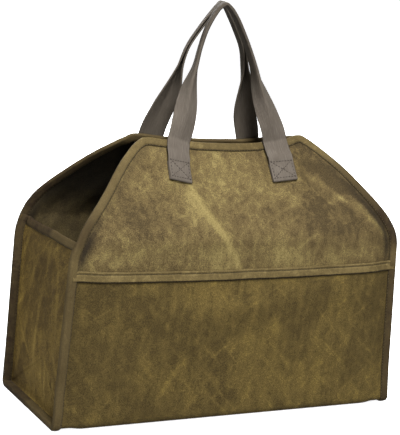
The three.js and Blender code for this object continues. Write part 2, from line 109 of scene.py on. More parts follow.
def hang_lamp(name, place, size, power):
    data = bpy.data.lights.new(name, "AREA")
    data.shape, data.size, data.energy = "DISK", size, power
    lamp = new_object(name, data)
    lamp.location = place
    lamp.rotation_euler = (LAMP_TARGET - Vector(place)).to_track_quat("-Z", "Y").to_euler()


for name, lamp in LAMPS.items():
    hang_lamp(name, *lamp)
bpy.context.scene.view_settings.view_transform = "Standard"

# %% [markdown]
# ## Shader maths
# A finish is a tree of nodes. Written out node by node it is long and hard to read, so a small class wraps
# one socket and lets Python's own operators add the Math nodes: 1 - mask adds a Subtract node. Colours
# don't go through Math, which would turn them grey, but through the Mix node.

# %% Wrap a socket
class Wire:
    """One output socket of a node tree, which Python's operators join to Math nodes."""

    def __init__(self, tree, socket):
        self.tree, self.socket = tree, socket

    def node(self, kind, settings=None, sockets=None, output=0):
        """Adds a node of one kind: its settings first, then the values or links of its sockets."""
        made = self.tree.nodes.new(kind)
        for name, value in (settings or {}).items():
            setattr(made, name, value)
        for name, value in (sockets or {}).items():
            if isinstance(value, Wire):
                self.tree.links.new(value.socket, made.inputs[name])
            else:
                made.inputs[name].default_value = value
        return Wire(self.tree, made.outputs[output]) if made.outputs else made

    def math(self, operation, *values):
        sockets = {i: value for i, value in enumerate(values)}
        return self.node("ShaderNodeMath", {"operation": operation}, sockets)

    def __add__(self, other):
        return self.math("ADD", self, other)

    def __sub__(self, other):
        return self.math("SUBTRACT", self, other)

    def __rsub__(self, other):
        return self.math("SUBTRACT", other, self)

    def __mul__(self, other):
        return self.math("MULTIPLY", self, other)

    def __abs__(self):
        return self.math("ABSOLUTE", self)

    __radd__, __rmul__ = __add__, __mul__

    def between(self, low, high):
        """0 below low, 1 above high and smooth between them."""
        sockets = {"Value": self, "From Min": low, "From Max": high}
        return self.node("ShaderNodeMapRange", {"interpolation_type": "SMOOTHSTEP"}, sockets)

    def mix(self, first, second, blend="MIX"):
        """This wire is the share of the second colour."""
        sockets = {0: self, 6: first, 7: second}
        return self.node("ShaderNodeMix", {"data_type": "RGBA", "blend_type": blend}, sockets, 2)

    def place(self):
        """Where on the object a point lies, in metres."""
        return self.node("ShaderNodeTexCoord", {}, {}, "Object")

    def stored(self, name):
        """A number that is stored on the mesh."""
        return self.node("ShaderNodeAttribute", {"attribute_name": name}, {}, "Fac")

    def noise(self, vector, scale, detail, roughness=0.5, distortion=0.0):
        sockets = {"Vector": vector, "Scale": scale, "Detail": detail, "Roughness": roughness,
                   "Distortion": distortion}
        return self.node("ShaderNodeTexNoise", {}, sockets)

    def wave(self, vector, scale, bands):
        """Even bands across the vector's X or Y."""
        sockets = {"Vector": vector, "Scale": scale}
        return self.node("ShaderNodeTexWave", {"bands_direction": bands}, sockets)


def paint(code):
    """A colour such as 7d6f49, as it looks on screen, in the linear values that Blender works with."""
    shown = [int(code[i:i + 2], 16) / 255 for i in (0, 2, 4)]
    linear = [c / 12.92 if c <= 0.04045 else ((c + 0.055) / 1.055) ** 2.4 for c in shown]
    return (*linear, 1)


def new_finish(name):
    """An empty material and a wire into its tree, whose socket isn't used."""
    finish = bpy.data.materials.new(name)
    finish.use_nodes = True
    finish.node_tree.nodes.clear()
    return finish, Wire(finish.node_tree, None)


def close_finish(wire, colour, roughness, height, strength, distance, specular):
    """Ends a finish: the shader, its bump and the output."""
    bump = wire.node("ShaderNodeBump", {}, {"Height": height, "Strength": strength, "Distance": distance})
    sockets = {"Base Color": colour, "Roughness": roughness, "Normal": bump,
               "Specular IOR Level": specular}
    shader = wire.node("ShaderNodeBsdfPrincipled", {}, sockets)
    wire.node("ShaderNodeOutputMaterial", {}, {"Surface": shader})


print("shader maths ready; olive drab is", [round(c, 3) for c in paint("7d6f49")[:3]])

# %% [markdown]
# The floor is a sheet of pale paper that bends up into a wall, as in a studio, so no horizon shows. It does
# so all round, and is behind the carrier from every side. To the camera it is nearly white, but it gives
# the carrier less light than it shows, or the dark inside would fill up.

# %% Lay the floor
FLOOR_REACH, FLOOR_BEND, WALL_TOP = 5.0, 1.0, 5.0
FLOOR_STEPS, BEND_STEPS = 72, 14
PAPER_GLOW = 0.85


def paper_finish():
    finish, wire = new_finish("paper")
    grain = wire.noise(wire.place(), 3.0, 3.0)
    seen = wire.node("ShaderNodeLightPath", {}, {}, "Is Camera Ray")
    pale = wire.node("ShaderNodeBsdfDiffuse", {}, {"Color": grain.mix(paint("f4f4f4"), paint("ffffff"))})
    glow = wire.node("ShaderNodeEmission", {}, {"Strength": PAPER_GLOW})
    bright = wire.node("ShaderNodeAddShader", {}, {0: pale, 1: glow})
    dim = wire.node("ShaderNodeBsdfDiffuse", {}, {"Color": paint("9a9a98")})
    shown = wire.node("ShaderNodeMixShader", {}, {0: seen, 1: dim, 2: bright})
    wire.node("ShaderNodeOutputMaterial", {}, {"Surface": shown})
    return finish


def lay_floor():
    """A round floor that bends up into a wall all round."""
    steps = FLOOR_STEPS
    profile = [(FLOOR_REACH + FLOOR_BEND * math.sin(a), FLOOR_BEND * (1 - math.cos(a)))
               for a in np.linspace(0, math.pi / 2, BEND_STEPS)]
    profile.append((FLOOR_REACH + FLOOR_BEND, WALL_TOP))
    angles = np.linspace(0, 2 * math.pi, steps, endpoint=False)
    points = [(reach * math.cos(a), reach * math.sin(a), z) for reach, z in profile for a in angles]
    faces = [tuple(range(steps))]
    for ring in range(len(profile) - 1):
        for i in range(steps):
            low, after = ring * steps + i, ring * steps + (i + 1) % steps
            faces.append((low, low + steps, after + steps, after))
    mesh = bpy.data.meshes.new("floor")
    mesh.from_pydata(points, [], faces)
    mesh.polygons.foreach_set("use_smooth", [True] * len(faces))
    mesh.materials.append(paper_finish())
    floor = new_object("floor", mesh)
    print("floor laid with", len(faces), "faces")


lay_floor()

# %% Light the surround
SURROUND_LIGHT = 0.1


def light_surround():
    """White as the camera sees it, and dimmer as the light that fills the shadows."""
    world = bpy.data.worlds.new("surround")
    bpy.context.scene.world = world
    world.use_nodes = True
    world.node_tree.nodes.clear()
    wire = Wire(world.node_tree, None)
    seen = wire.node("ShaderNodeLightPath", {}, {}, "Is Camera Ray")
    strength = seen * (1 - SURROUND_LIGHT) + SURROUND_LIGHT
    sky = wire.node("ShaderNodeBackground", {}, {"Color": (1, 1, 1, 1), "Strength": strength})
    wire.node("ShaderNodeOutputWorld", {}, {"Surface": sky})


light_surround()
print("the surround fills the shadows with", SURROUND_LIGHT, "of white")

# %% [markdown]
# ## Sizes
# These are the CAD part's own sizes, in metres. The walls, flaps and end panels below are worked out from
# them in the same way as the CAD solids are, only with finer rows, so a seam in one piece meets its
# neighbour's. The straps alone are 2 mm narrower here, since webbing draws in when it is pulled and folded.

# %% Name the sizes
MM = 0.001
body_width, shoulder_width, base_depth, shoulder_depth = 520 * MM, 497 * MM, 198 * MM, 190 * MM
shoulder_height, base_radius, seam_height, seam_sag = 246 * MM, 10 * MM, 205 * MM, 4 * MM
top_width, top_height, mouth_width, top_sag = 260 * MM, 373 * MM, 26 * MM, 8.5 * MM
cloth, tape, tape_lap, sewn_gap = 2 * MM, 1.4 * MM, 10 * MM, 0.4 * MM
flange_length, flange_set_back, flange_tilt, base_set_back = 12 * MM, 6 * MM, 2.6 * MM, 0.62
band_height, end_sag, end_dent, spine_foot = 13 * MM, 5 * MM, 6 * MM, 90 * MM
strap_width, strap_thickness, strap_foot = 36 * MM, 2 * MM, 317 * MM
handle_height, handle_spacing, back_handle_shift = 554 * MM, 162 * MM, -22 * MM
grip_gap, leaf_gap, fold_depth = 0.7 * MM, 0.6 * MM, 5 * MM
tape_reach = sewn_gap + tape
base_half = body_width / 2 - tape_reach
shoulder_half = shoulder_width / 2 - tape_reach
top_half = top_width / 2 - tape_reach
cloth_top = top_height - tape_reach
mouth_half = mouth_width / 2
layer = cloth + sewn_gap
print("cloth between", -base_half, "and", base_half, "m at the base")

# %% [markdown]
# The tables say how a flap narrows and leans in, where the long soft folds lie and how the two legs of a
# handle run. Their numbers are shares of named sizes, and turns in degrees. The lengths that set the front
# wall and the back wall apart are written in millimetres.

# %% Tables of the flaps, folds and handles
FLAP = {
    "rise": [0, 0.12, 0.25, 0.5, 0.75, 0.9, 1],
    "narrow": [0, 0.085, 0.193, 0.435, 0.682, 0.87, 1],
    "edge": [0, 0.04, 0.125, 0.383, 0.7, 0.9, 1],
    "middle": [0, 0.085, 0.23, 0.51, 0.77, 0.92, 1],
}
# each fold: its place along and up, its turn in degrees, how long, wide and deep it is
FRONT_FOLDS = [
    (0.62, 0.74, -42, 0.14, 0.03, 1), (0.5, 0.8, -40, 0.12, 0.03, -0.5),
    (-0.22, 0.74, -66, 0.13, 0.025, -0.7), (-0.02, 0.66, -58, 0.12, 0.03, 0.5),
    (-0.44, 0.92, 60, 0.03, 0.02, 0.6), (0.12, 0.93, 10, 0.08, 0.03, 0.5),
    (-0.3, 0.3, 25, 0.2, 0.06, -0.6), (0.45, 0.28, -20, 0.2, 0.06, -0.6),
    (0.05, 0.42, 4, 0.3, 0.04, -0.7), (0.77, 0.72, -47, 0.11, 0.018, -0.8),
    (0.62, 0.84, -35, 0.1, 0.014, 0.6),
]
BACK_FOLDS = [
    (0.55, 0.75, -44, 0.14, 0.03, 0.9), (-0.6, 0.74, 44, 0.14, 0.03, 0.9),
    (-0.05, 0.72, 70, 0.14, 0.03, -0.6), (0.1, 0.4, -4, 0.3, 0.04, -0.7),
    (-0.35, 0.28, -18, 0.2, 0.06, -0.6),
]
# left, right: how much further out the shoulder and the slant lie there
# bends: how far the rounding of the left and of the right shoulder reaches
# shift: how far the handle sits aside; corner: how far the right top corner is moved in and up
FRONT = {"name": "front", "folds": FRONT_FOLDS, "left": (0, 0), "right": (0, 5 * MM),
         "bends": (26 * MM, 13 * MM), "shift": 0, "corner": (-10 * MM, 6.5 * MM)}
BACK = {"name": "back", "folds": BACK_FOLDS, "left": (9 * MM, 5 * MM), "right": (4 * MM, 3 * MM),
        "bends": (30 * MM, 26 * MM), "shift": back_handle_shift, "corner": (0, 0)}
# the height of each place on a leg, how far the strap is folded there, and how far aside each leg lies
RISES = [0, 0.13, 0.25, 0.36, 0.5, 0.62, 0.74, 0.85, 0.93, 0.98, 1]
FOLDED = [0, 0.01, 0.1, 0.3, 0.64, 0.93, 1, 1, 1, 1, 1]
FRONT_LEGS = {
    "left": [-1.03, -0.99, -0.89, -0.83, -0.77, -0.69, -0.63, -0.54, -0.43, -0.33, -0.24],
    "right": [0.96, 0.94, 0.88, 0.75, 0.58, 0.45, 0.29, 0.12, -0.02, -0.14, -0.24],
}
BACK_LEGS = {
    "left": [-1, -0.97, -0.9, -0.79, -0.65, -0.56, -0.44, -0.24, -0.07, 0.05, 0.13],
    "right": [1, 0.97, 0.89, 0.79, 0.72, 0.67, 0.6, 0.44, 0.3, 0.2, 0.13],
}
print(len(FRONT_FOLDS), "folds in front and", len(BACK_FOLDS), "at the back")

# %% [markdown]
# ## The cloth's shape
# A sewn bag stands up because its cloth is stiff with wax, and it is made of a few panels whose edges are
# known. It could be draped by a simulation, but that would move the seams off the places that the frame
# gives. So each panel is worked out from the sizes instead: how wide it is at a height, and how deep at a
# place.

# %% Smooth steps and table values
def mixed(a, b, share):
    return a + (b - a) * share


def smooth(x, low, high):
    t = np.clip((np.asarray(x, float) - low) / (high - low), 0, 1)
    return t * t * (3 - 2 * t)


def unit(vectors):
    return vectors / np.maximum(np.linalg.norm(vectors, axis=-1, keepdims=True), 1e-12)


def without(vectors, directions):
    """The part of each vector that is square to its direction."""
    return vectors - directions * np.sum(vectors * directions, axis=-1, keepdims=True)


def along(keys, values, at):
    """A smooth curve through a table's values."""
    keys, values, at = np.asarray(keys, float), np.asarray(values, float), np.asarray(at, float)
    i = np.clip(np.searchsorted(keys[1:], at, side="left"), 0, len(keys) - 2)
    slopes = np.diff(values) / np.diff(keys)
    at_rows = np.concatenate([slopes[:1], (slopes[1:] + slopes[:-1]) / 2, slopes[-1:]])
    span = keys[i + 1] - keys[i]
    t = np.clip((at - keys[i]) / span, 0, 1)
    first = (2 * t ** 3 - 3 * t ** 2 + 1) * values[i] + (t ** 3 - 2 * t ** 2 + t) * span * at_rows[i]
    return first + (3 * t ** 2 - 2 * t ** 3) * values[i + 1] + (t ** 3 - t ** 2) * span * at_rows[i + 1]


print("half way up, a flap has come in by", round(float(along(FLAP["rise"], FLAP["narrow"], 0.5)), 3))

# %% Width of a wall
def sharp_half_width(wall, x, z):
    x, z = np.asarray(x, float), np.asarray(z, float)
    shoulder = np.where(x < 0, wall["left"][0], wall["right"][0])
    slant = np.where(x < 0, wall["left"][1], wall["right"][1])
    low = np.minimum(z / shoulder_height, 1)
    rise = np.maximum(z - shoulder_height, 0) / (cloth_top - shoulder_height)
    fuller = shoulder * (1 - rise) + slant * 4 * rise * (1 - rise)
    high = mixed(shoulder_half, top_half, along(FLAP["rise"], FLAP["narrow"], rise)) + fuller
    return np.where(low < 1, mixed(base_half, shoulder_half + shoulder, low), high)


def half_width(wall, x, z):
    """The half width with its shoulder rounded, as the tape there is when it bends round it."""
    z = np.asarray(z, float)
    bend = np.where(np.asarray(x) < 0, *wall["bends"])
    around = sum(sharp_half_width(wall, x, z + share * bend) for share in (-1, -0.5, 0, 0.5, 1)) / 5
    rounded = np.exp(-((z - shoulder_height) / bend) ** 2)
    return mixed(sharp_half_width(wall, x, z), around, rounded)


def slant_factor(wall, x, z):
    """How much longer a level way in from the slant is than the square way in."""
    return np.hypot(1, (half_width(wall, x, z - MM) - half_width(wall, x, z + MM)) / (2 * MM))


print("the front wall is", round(2 * float(half_width(FRONT, 0.0, seam_height)), 3), "m wide at its seam")

# %% Depth of a wall
# how much the cloth turns under a strap's left and right foot, and how far below them it begins to calm
FOOT_TILTS, FOOT_FADE = (0.27, 0.17), 15 * MM


def set_back(from_edge):
    """How far the cloth lies behind the wall's plain face, in the flange and in the valley beside it."""
    valley = flange_set_back * (1 - smooth(from_edge, flange_length, flange_length * 3.5))
    flange = flange_set_back - flange_tilt * (1 - from_edge / flange_length)
    return np.where(from_edge < flange_length, flange, valley)


def ridges_at(table, x, z):
    """The sum of a table's long soft ridges at places across and up."""
    total = 0
    for share, up, turn, length, width, strength in table:
        angle = math.radians(turn)
        dx, dz = x - share * body_width / 2, z - up * top_height
        run = (dx * math.cos(angle) + dz * math.sin(angle)) / (length * body_width)
        side = (dz * math.cos(angle) - dx * math.sin(angle)) / (width * body_width)
        total = total + strength * np.exp(-run * run - side * side)
    return total


def from_foot(wall, x):
    """How far a place lies from the nearer handle's middle line."""
    return np.abs(np.abs(x - wall["shift"]) - handle_spacing / 2)


def foot_at(wall, x, z):
    """1 under the handles' feet and above them, and 0 a strap's width beside them."""
    beside = 1 - smooth(from_foot(wall, x), strap_width * 0.5, strap_width)
    return beside * smooth(z, strap_foot - FOOT_FADE, strap_foot)


def wall_depth(wall, x, z):
    x, z = np.asarray(x, float), np.asarray(z, float)
    half = half_width(wall, x, z)
    from_edge = (half - np.abs(x)) / slant_factor(wall, x, z)
    low = np.minimum(z / shoulder_height, 1)
    plain = mixed(base_depth / 2, shoulder_depth / 2, low) - cloth / 2
    rise = np.clip((z - shoulder_height) / (cloth_top - shoulder_height), 0, 1)
    share = np.minimum(np.abs(x) / half, 1)
    middle, edge = along(FLAP["rise"], FLAP["middle"], rise), along(FLAP["rise"], FLAP["edge"], rise)
    lean = mixed(middle, edge, share * share)
    seam = mixed(base_set_back, 1, smooth(z, base_radius, base_radius * 6))
    fade = seam * (1 - smooth(rise, 0, 0.45))
    foot = foot_at(wall, x, z)
    calm = smooth(from_edge, flange_length, flange_length * 4) * (1 - foot)
    folds = fold_depth * ridges_at(wall["folds"], x, z) * smooth(z, base_radius, base_radius * 3)
    tilt = np.where(x < wall["shift"], *FOOT_TILTS) * foot * (np.abs(x - wall["shift"]) - handle_spacing / 2)
    return mixed(plain, mouth_half, lean) - set_back(from_edge) * fade - folds * calm + tilt


print("the front wall lies", round(float(wall_depth(FRONT, 0.0, 0.1)), 4), "m in front of the middle")

# %% [markdown]
# A panel is a grid of points: rows up the cloth, columns across it. The columns lie close together in the
# flange and its valley, where the cloth turns, and about four millimetres apart elsewhere, so that creases
# a centimetre long still come out as shape and not only as bump. Under the base the flange may lift no
# higher than its own tip, or the tape round it would stand below the floor.

# %% Rows of cloth
EDGE_STEPS = np.array([0, 2.5, 5, 7.5, 10, 12, 14, 16.5, 19.5, 23, 27, 31]) * MM
INNER_COLUMNS = 104
WALL_ROWS, BEND_ROWS, BASE_ROWS, LOW_FLAP_ROWS, FLAP_ROWS = 49, 7, 22, 11, 42
BASE_LIFT = (flange_set_back - flange_tilt) * base_set_back


def across(wall, z):
    """Places across the cloth at a height, from the left edge to the right one."""
    sides = []
    for side in (-1, 1):
        half, factor = half_width(wall, side, z), slant_factor(wall, side, z)
        sides.append(side * (half - EDGE_STEPS * factor))
    left, right = sides
    middle = np.linspace(left[-1], right[-1], INNER_COLUMNS)
    return np.concatenate([left[:-1], middle, right[-2::-1]])


def wall_row(wall, z):
    """Middle points of the cloth in one row across a wall, with the seam's sag."""
    up = z / seam_height
    hump = smooth(up, 0, 1) if up < 1 else 1 - smooth(z, seam_height, shoulder_height)
    x = across(wall, z)
    low = z - seam_sag * hump * (1 - (x / half_width(wall, x, z)) ** 2)
    return np.stack([x, -wall_depth(wall, x, low), low], 1)


def base_row(wall, y, z, out_y, out_z):
    x = across(wall, 0.0)
    inward = set_back(base_half - np.abs(x)) * base_set_back
    return np.stack([x, y - out_y * inward, z - out_z * np.minimum(inward, BASE_LIFT)], 1)


def half_sling(wall):
    """Rows from the seam down the front wall and to the middle of the base."""
    rows = [wall_row(wall, z) for z in np.linspace(seam_height - sewn_gap / 2, base_radius, WALL_ROWS)[:-1]]
    foot, bend = base_depth / 2 - cloth / 2, base_radius - cloth / 2
    for angle in np.linspace(0, math.pi / 2, BEND_ROWS):
        out_y, out_z = -math.cos(angle), -math.sin(angle)
        rows.append(base_row(wall, -foot + bend + out_y * bend, base_radius + out_z * bend, out_y, out_z))
    flat = foot - bend
    rows += [base_row(wall, -flat * share, cloth / 2, 0, -1) for share in np.linspace(1, 0, BASE_ROWS)[1:]]
    return rows


def turned_round(rows):
    return [row * np.array([1, -1, 1]) for row in rows]


def flap_rows(wall):
    """Rows from the seam up to the shoulder, and on to the sagging top edge."""
    low = np.linspace(seam_height + sewn_gap / 2, shoulder_height, LOW_FLAP_ROWS)
    rows = [wall_row(wall, z) for z in low]
    height = cloth_top - shoulder_height
    for rise in np.linspace(0, 1, FLAP_ROWS)[1:]:
        edge_height = shoulder_height + height * rise
        x = across(wall, edge_height)
        half = half_width(wall, x, edge_height)
        share = x / half
        z = edge_height - top_sag * rise * (1 - share * share)
        rows.append(np.stack([x, -wall_depth(wall, x, z), z], 1))
    return rows


sling_rows = half_sling(FRONT) + turned_round(half_sling(BACK)[:-1])[::-1]
print("the sling has", len(sling_rows), "rows of", len(sling_rows[0]), "points")

# %% [markdown]
# Waxed canvas keeps every crease that it has had. The long folds are in the table above, and smaller ones
# come from a noise that is sharpened to ridges. The noise is read at the point's own place in space, so it
# runs on across a seam, and it is calmed near seams and under the straps, where the cloth is held flat.

# %% Crumple the cloth
SWELL_SIZE, RIDGE_SIZE, CREASE_SIZE = 110 * MM, 55 * MM, 26 * MM
SWELL_DEPTH, RIDGE_DEPTH, SQUEEZED = 1.5 * MM, 0.55 * MM, 0.45


def ridged(place, size, seed):
    """Narrow ridges between -1 and 1, of about one size."""
    value = noise.noise(Vector(place) / size + Vector((seed, seed * 0.7, -seed)))
    return 1 - 2 * min(abs(value) * 2.6, 1)


def crumple_at(place):
    """How far the cloth stands out at a place: slow swells, and ridges that are longer upright."""
    x, y, z = place
    swell = noise.noise(Vector((x, y, z)) / SWELL_SIZE + Vector((3.1, 0, 0)))
    upright = (x, y, z * SQUEEZED)
    ridges = ridged(upright, RIDGE_SIZE, 5) * 0.55 + ridged(place, CREASE_SIZE, 11) * 0.25
    return SWELL_DEPTH * swell + RIDGE_DEPTH * ridges * (0.6 + swell)


def grid_normals(grid):
    up = np.gradient(grid, axis=0)
    over = np.gradient(grid, axis=1)
    normals = np.cross(over, up)
    lengths = np.linalg.norm(normals, axis=2, keepdims=True)
    return normals / np.where(lengths > 1e-12, lengths, 1)


def crumpled(grid, calm):
    """The grid pushed along its normals by the crumple, as far as calm (0 to 1) lets it."""
    flat = grid.reshape(-1, 3)
    push = np.array([crumple_at(point) for point in flat]).reshape(grid.shape[:2]) * calm
    return grid + grid_normals(grid) * push[..., None]


print("crumple at one place:", round(crumple_at((0.1, -0.09, 0.1)) * 1000, 2), "mm")

# %% [markdown]
# ## The canvas finish
# On the real cloth the wax goes pale wherever it has been bent or rubbed, in cloudy patches and in fine
# streaks that cross each other. A photograph of canvas could be laid on, but it would repeat, and its
# creases would not lie on the folds. The finish is built up from noises instead: slow clouds and blots,
# streaks that stand upright or lean to either side, a net of thin cracks with finer hairs in it, and the
# lines that are stored on the mesh, which are partly rubbed wax and partly painted highlight and shade on
# creases. The painted shade in the valley beside the seams is stored on the mesh as well. Over them lies the
# grain of the weave, from the cloth's own UV map, so it follows the panel round every bend. On an end panel
# the streaks run to the front above its middle and again below it, as its creases do. The cloth's inner side
# has a darker finish of its own, which is painted shade, and near the mouth it goes nearly black with more
# painted shade.

# %% Make the canvas finish
# the first colour is painted shade for the valley beside the flange, the second is painted shade inside near
# the mouth
VALLEY_SHADE, DARK, GRAIN_SHARE, THREADS = paint("221a0d"), paint("120e07"), 0.55, 330.0
# each kind of streak: its turn from upright, how thin it is for its length, scale, roughness, distortion
UPRIGHT = (0.1, 0.2, 95.0, 0.62, 0.5)
SLANTED, CROSSED = (-0.75, 0.16, 70.0, 0.6, 0.5), (0.95, 0.16, 80.0, 0.6, 0.5)
END_HIGH, END_LOW = (0.6, 0.2, 95.0, 0.62, 1.6), (-0.5, 0.2, 95.0, 0.62, 1.6)
END_TURN_HEIGHTS = (0.07, 0.16)


def height_of(wire):
    return wire.node("ShaderNodeSeparateXYZ", {}, {"Vector": wire.place()}, "Z")


def streaks(wire, kind, across_y):
    """Noise drawn out into streaks that lean by a turn, on a wall or on an end panel."""
    turn, thin, scale, roughness, distortion = kind
    rotation = (turn, 0.0, 0.0) if across_y else (0.0, turn, 0.0)
    sockets = {"Vector": wire.place(), "Scale": (1.0, 1.0, 1 / thin), "Rotation": rotation}
    drawn = wire.node("ShaderNodeMapping", {"vector_type": "TEXTURE"}, sockets)
    return wire.noise(drawn, scale, 4.0, roughness, distortion)


def all_streaks(wire, across_y):
    """The upright, the slanted and the crossed streaks, and the strength of the upright ones."""
    slanted, crossed = (streaks(wire, kind, across_y) for kind in (SLANTED, CROSSED))
    if not across_y:
        return streaks(wire, UPRIGHT, False), slanted, crossed, 0.7
    high = height_of(wire).between(*END_TURN_HEIGHTS)
    upright = streaks(wire, END_HIGH, True) * high + streaks(wire, END_LOW, True) * (1 - high)
    return upright, slanted * (1 - high * 0.5), crossed * (0.55 + high * 0.45), 0.42


def canvas_finish(name, deep, middle, pale, dusty=1.0, lively=1.0, across_y=False, dark_above=None):
    """Waxed canvas in three tones. Dusty is the strength of its fine marks, and lively its contrast."""
    finish, wire = new_finish(name)
    place = wire.place()
    upright, slanted, crossed, strength = all_streaks(wire, across_y)
    clouds = wire.noise(place, 11.0, 3.0, 0.5, 0.4)
    blots = wire.noise(place, 60.0, 5.0, 0.65, 0.8)
    patches = wire.noise(place, 17.0, 2.0, 0.55)
    veins = wire.noise(place, 38.0, 4.0, 0.5, 1.2)
    net = 1 - abs(veins - 0.5).between(0.0, 0.02)
    hairs = wire.noise(place, 95.0, 5.0, 0.6, 1.8)
    crackle = (1 - abs(hairs - 0.5).between(0.0, 0.022)) * clouds.between(0.4, 0.6)
    fine = wire.noise(place, 800.0, 2.0, 0.8).between(0.3, 0.7)
    paleness = clouds * 0.75 + blots * 0.8 + (upright - 0.5) * strength + 0.05
    paleness = paleness + slanted.between(0.5, 0.78) * 0.3 * dusty + crossed.between(0.52, 0.78) * 0.25 * dusty
    paleness = paleness + net * patches.between(0.48, 0.62) * 0.14 + crackle * 0.26 * dusty
    # the stored lines add rubbed wax and painted highlight and shade on creases
    paleness = (paleness + wire.stored("rub") * 0.7 - 0.9) * lively + 0.9
    colour = paleness.between(0.55, 1.05).mix(deep, middle)
    colour = paleness.between(0.85, 1.75).mix(colour, pale)
    # painted shade in the valley beside the flange, from the values stored on the mesh
    colour = (wire.stored("soiled") * (0.7 + clouds * 0.5)).mix(colour, VALLEY_SHADE)
    # painted shade inside: darker towards the mouth
    if dark_above:
        colour = (height_of(wire).between(*dark_above) * 0.85).mix(colour, DARK)
    grain_share = wire.node("ShaderNodeValue")
    grain_share.socket.default_value = GRAIN_SHARE
    colour = grain_share.mix(colour, fine.mix(paint("3c3c3c"), paint("ffffff")), "SOFT_LIGHT")
    thread = wire.node("ShaderNodeUVMap", {"uv_map": "cloth"})
    weave = wire.wave(thread, THREADS, "X") * wire.wave(thread, THREADS, "Y")
    height = weave * 0.5 + fine * 0.7 + upright * 0.8 + slanted * 0.5 + net * patches * 0.5
    close_finish(wire, colour, 0.88 - paleness * 0.1, height, 0.6, 0.6 * MM, 0.25)
    return finish


# the inner canvas's darker tones are painted shade, and above these heights, towards the mouth, it goes
# nearly black with more painted shade
MOUTH_DARK = (0.235, 0.3)
# the upper canvas is the same cloth as the lower, with greyer tones that are a painted sheen from the lamp
# above
upper_canvas = canvas_finish("upper_canvas", paint("43371f"), paint("5a4b2c"), paint("847547"), 1.0, 1.2)
lower_canvas = canvas_finish("lower_canvas", paint("463919"), paint("594a23"), paint("7e6a33"), 1.0, 1.25)
end_canvas = canvas_finish("end_canvas", paint("4a3a1a"), paint("675427"), paint("8c7538"), 1.15, 1.2,
                           across_y=True)
inner_canvas = canvas_finish("inner_canvas", paint("3d331f"), paint("52462b"), paint("6e6039"), 0.5, 1.0,
                             dark_above=MOUTH_DARK)
print("canvas finishes:", [m.name for m in (upper_canvas, lower_canvas, end_canvas, inner_canvas)])

# %% [markdown]
# ## Cloth panels
# A panel's mesh is the middle surface of its cloth. It gets a UV map in metres of cloth, the values that
# say where it is rubbed pale or soiled, and its thickness from a Solidify modifier that grows half to each
# side.

# %% Turn a grid into a panel
def run_lengths(grid, axis):
    steps = np.linalg.norm(np.diff(grid, axis=axis), axis=2)
    zero = np.zeros((1, grid.shape[1])) if axis == 0 else np.zeros((grid.shape[0], 1))
    return np.concatenate([zero, np.cumsum(steps, axis=axis)], axis=axis)


def store(mesh, name, values, kind="FLOAT"):
    """Stores a number, or a vector, for each point of a mesh."""
    field = "value" if kind == "FLOAT" else "vector"
    numbers = np.asarray(values, np.float32).ravel()
    mesh.attributes.new(name, kind, "POINT").data.foreach_set(field, numbers)


def grid_mesh(name, grid, look, uv, values):
    """A mesh from a grid of points, its faces turned to look the way that look points at its middle."""
    rows, columns = grid.shape[:2]
    number = np.arange(rows * columns).reshape(rows, columns)
    corners = [number[:-1, :-1], number[:-1, 1:], number[1:, 1:], number[1:, :-1]]
    middle = grid_normals(grid)[rows // 2, columns // 2]
    if np.dot(middle, look) < 0:
        corners = corners[::-1]
    faces = np.stack(corners, 2).reshape(-1, 4)
    mesh = bpy.data.meshes.new(name)
    mesh.from_pydata(grid.reshape(-1, 3).tolist(), [], faces.tolist())
    for key, value in values.items():
        store(mesh, key, value)
    index = np.zeros(len(mesh.loops), np.int32)
    mesh.loops.foreach_get("vertex_index", index)
    corner_uv = uv.reshape(-1, 2)[index].astype(np.float32)
    mesh.uv_layers.new(name="cloth").data.foreach_set("uv", corner_uv.ravel())
    return mesh


MERGE_DISTANCE, CLOSED_DISTANCE = 2e-6, 1e-7


def merge_doubles(mesh):
    """Joins points that lie on each other and drops the faces that this closes up."""
    made = bmesh.new()
    made.from_mesh(mesh)
    bmesh.ops.remove_doubles(made, verts=made.verts, dist=MERGE_DISTANCE)
    bmesh.ops.dissolve_degenerate(made, edges=made.edges, dist=CLOSED_DISTANCE)
    made.to_mesh(mesh)
    made.free()


def new_piece(name, mesh, finish, slot, *nodes):
    """A finished piece: linked, painted, riding on the frame, and standing for its CAD nodes."""
    mesh.polygons.foreach_set("use_smooth", [True] * len(mesh.polygons))
    piece = new_object(name, mesh)
    mesh.materials.clear()
    mesh.materials.append(finish)
    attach(piece, "root")
    if nodes:
        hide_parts(*nodes)
    return piece


def thicken(piece, thickness, inner=None):
    """Gives a piece its wall, half to each side. The inner side may have a finish of its own; the one given
    here is painted darker as shade.
    """
    grow = piece.modifiers.new("thickness", "SOLIDIFY")
    grow.thickness, grow.offset, grow.use_even_offset = thickness, 0, False
    if inner:
        piece.data.materials.append(inner)
        grow.material_offset = 1
    return piece


def cloth_uv(grid):
    """Metres of cloth across and along a panel, measured from its middle column and row."""
    rows, columns = grid.shape[:2]
    over, up = run_lengths(grid, 1), run_lengths(grid, 0)
    middle = slice(columns // 2, columns // 2 + 1)
    return np.stack([over - over[:, middle], np.broadcast_to(up[:, middle], (rows, columns))], 2)


print("a panel's doubles merge within", MERGE_DISTANCE, "m")
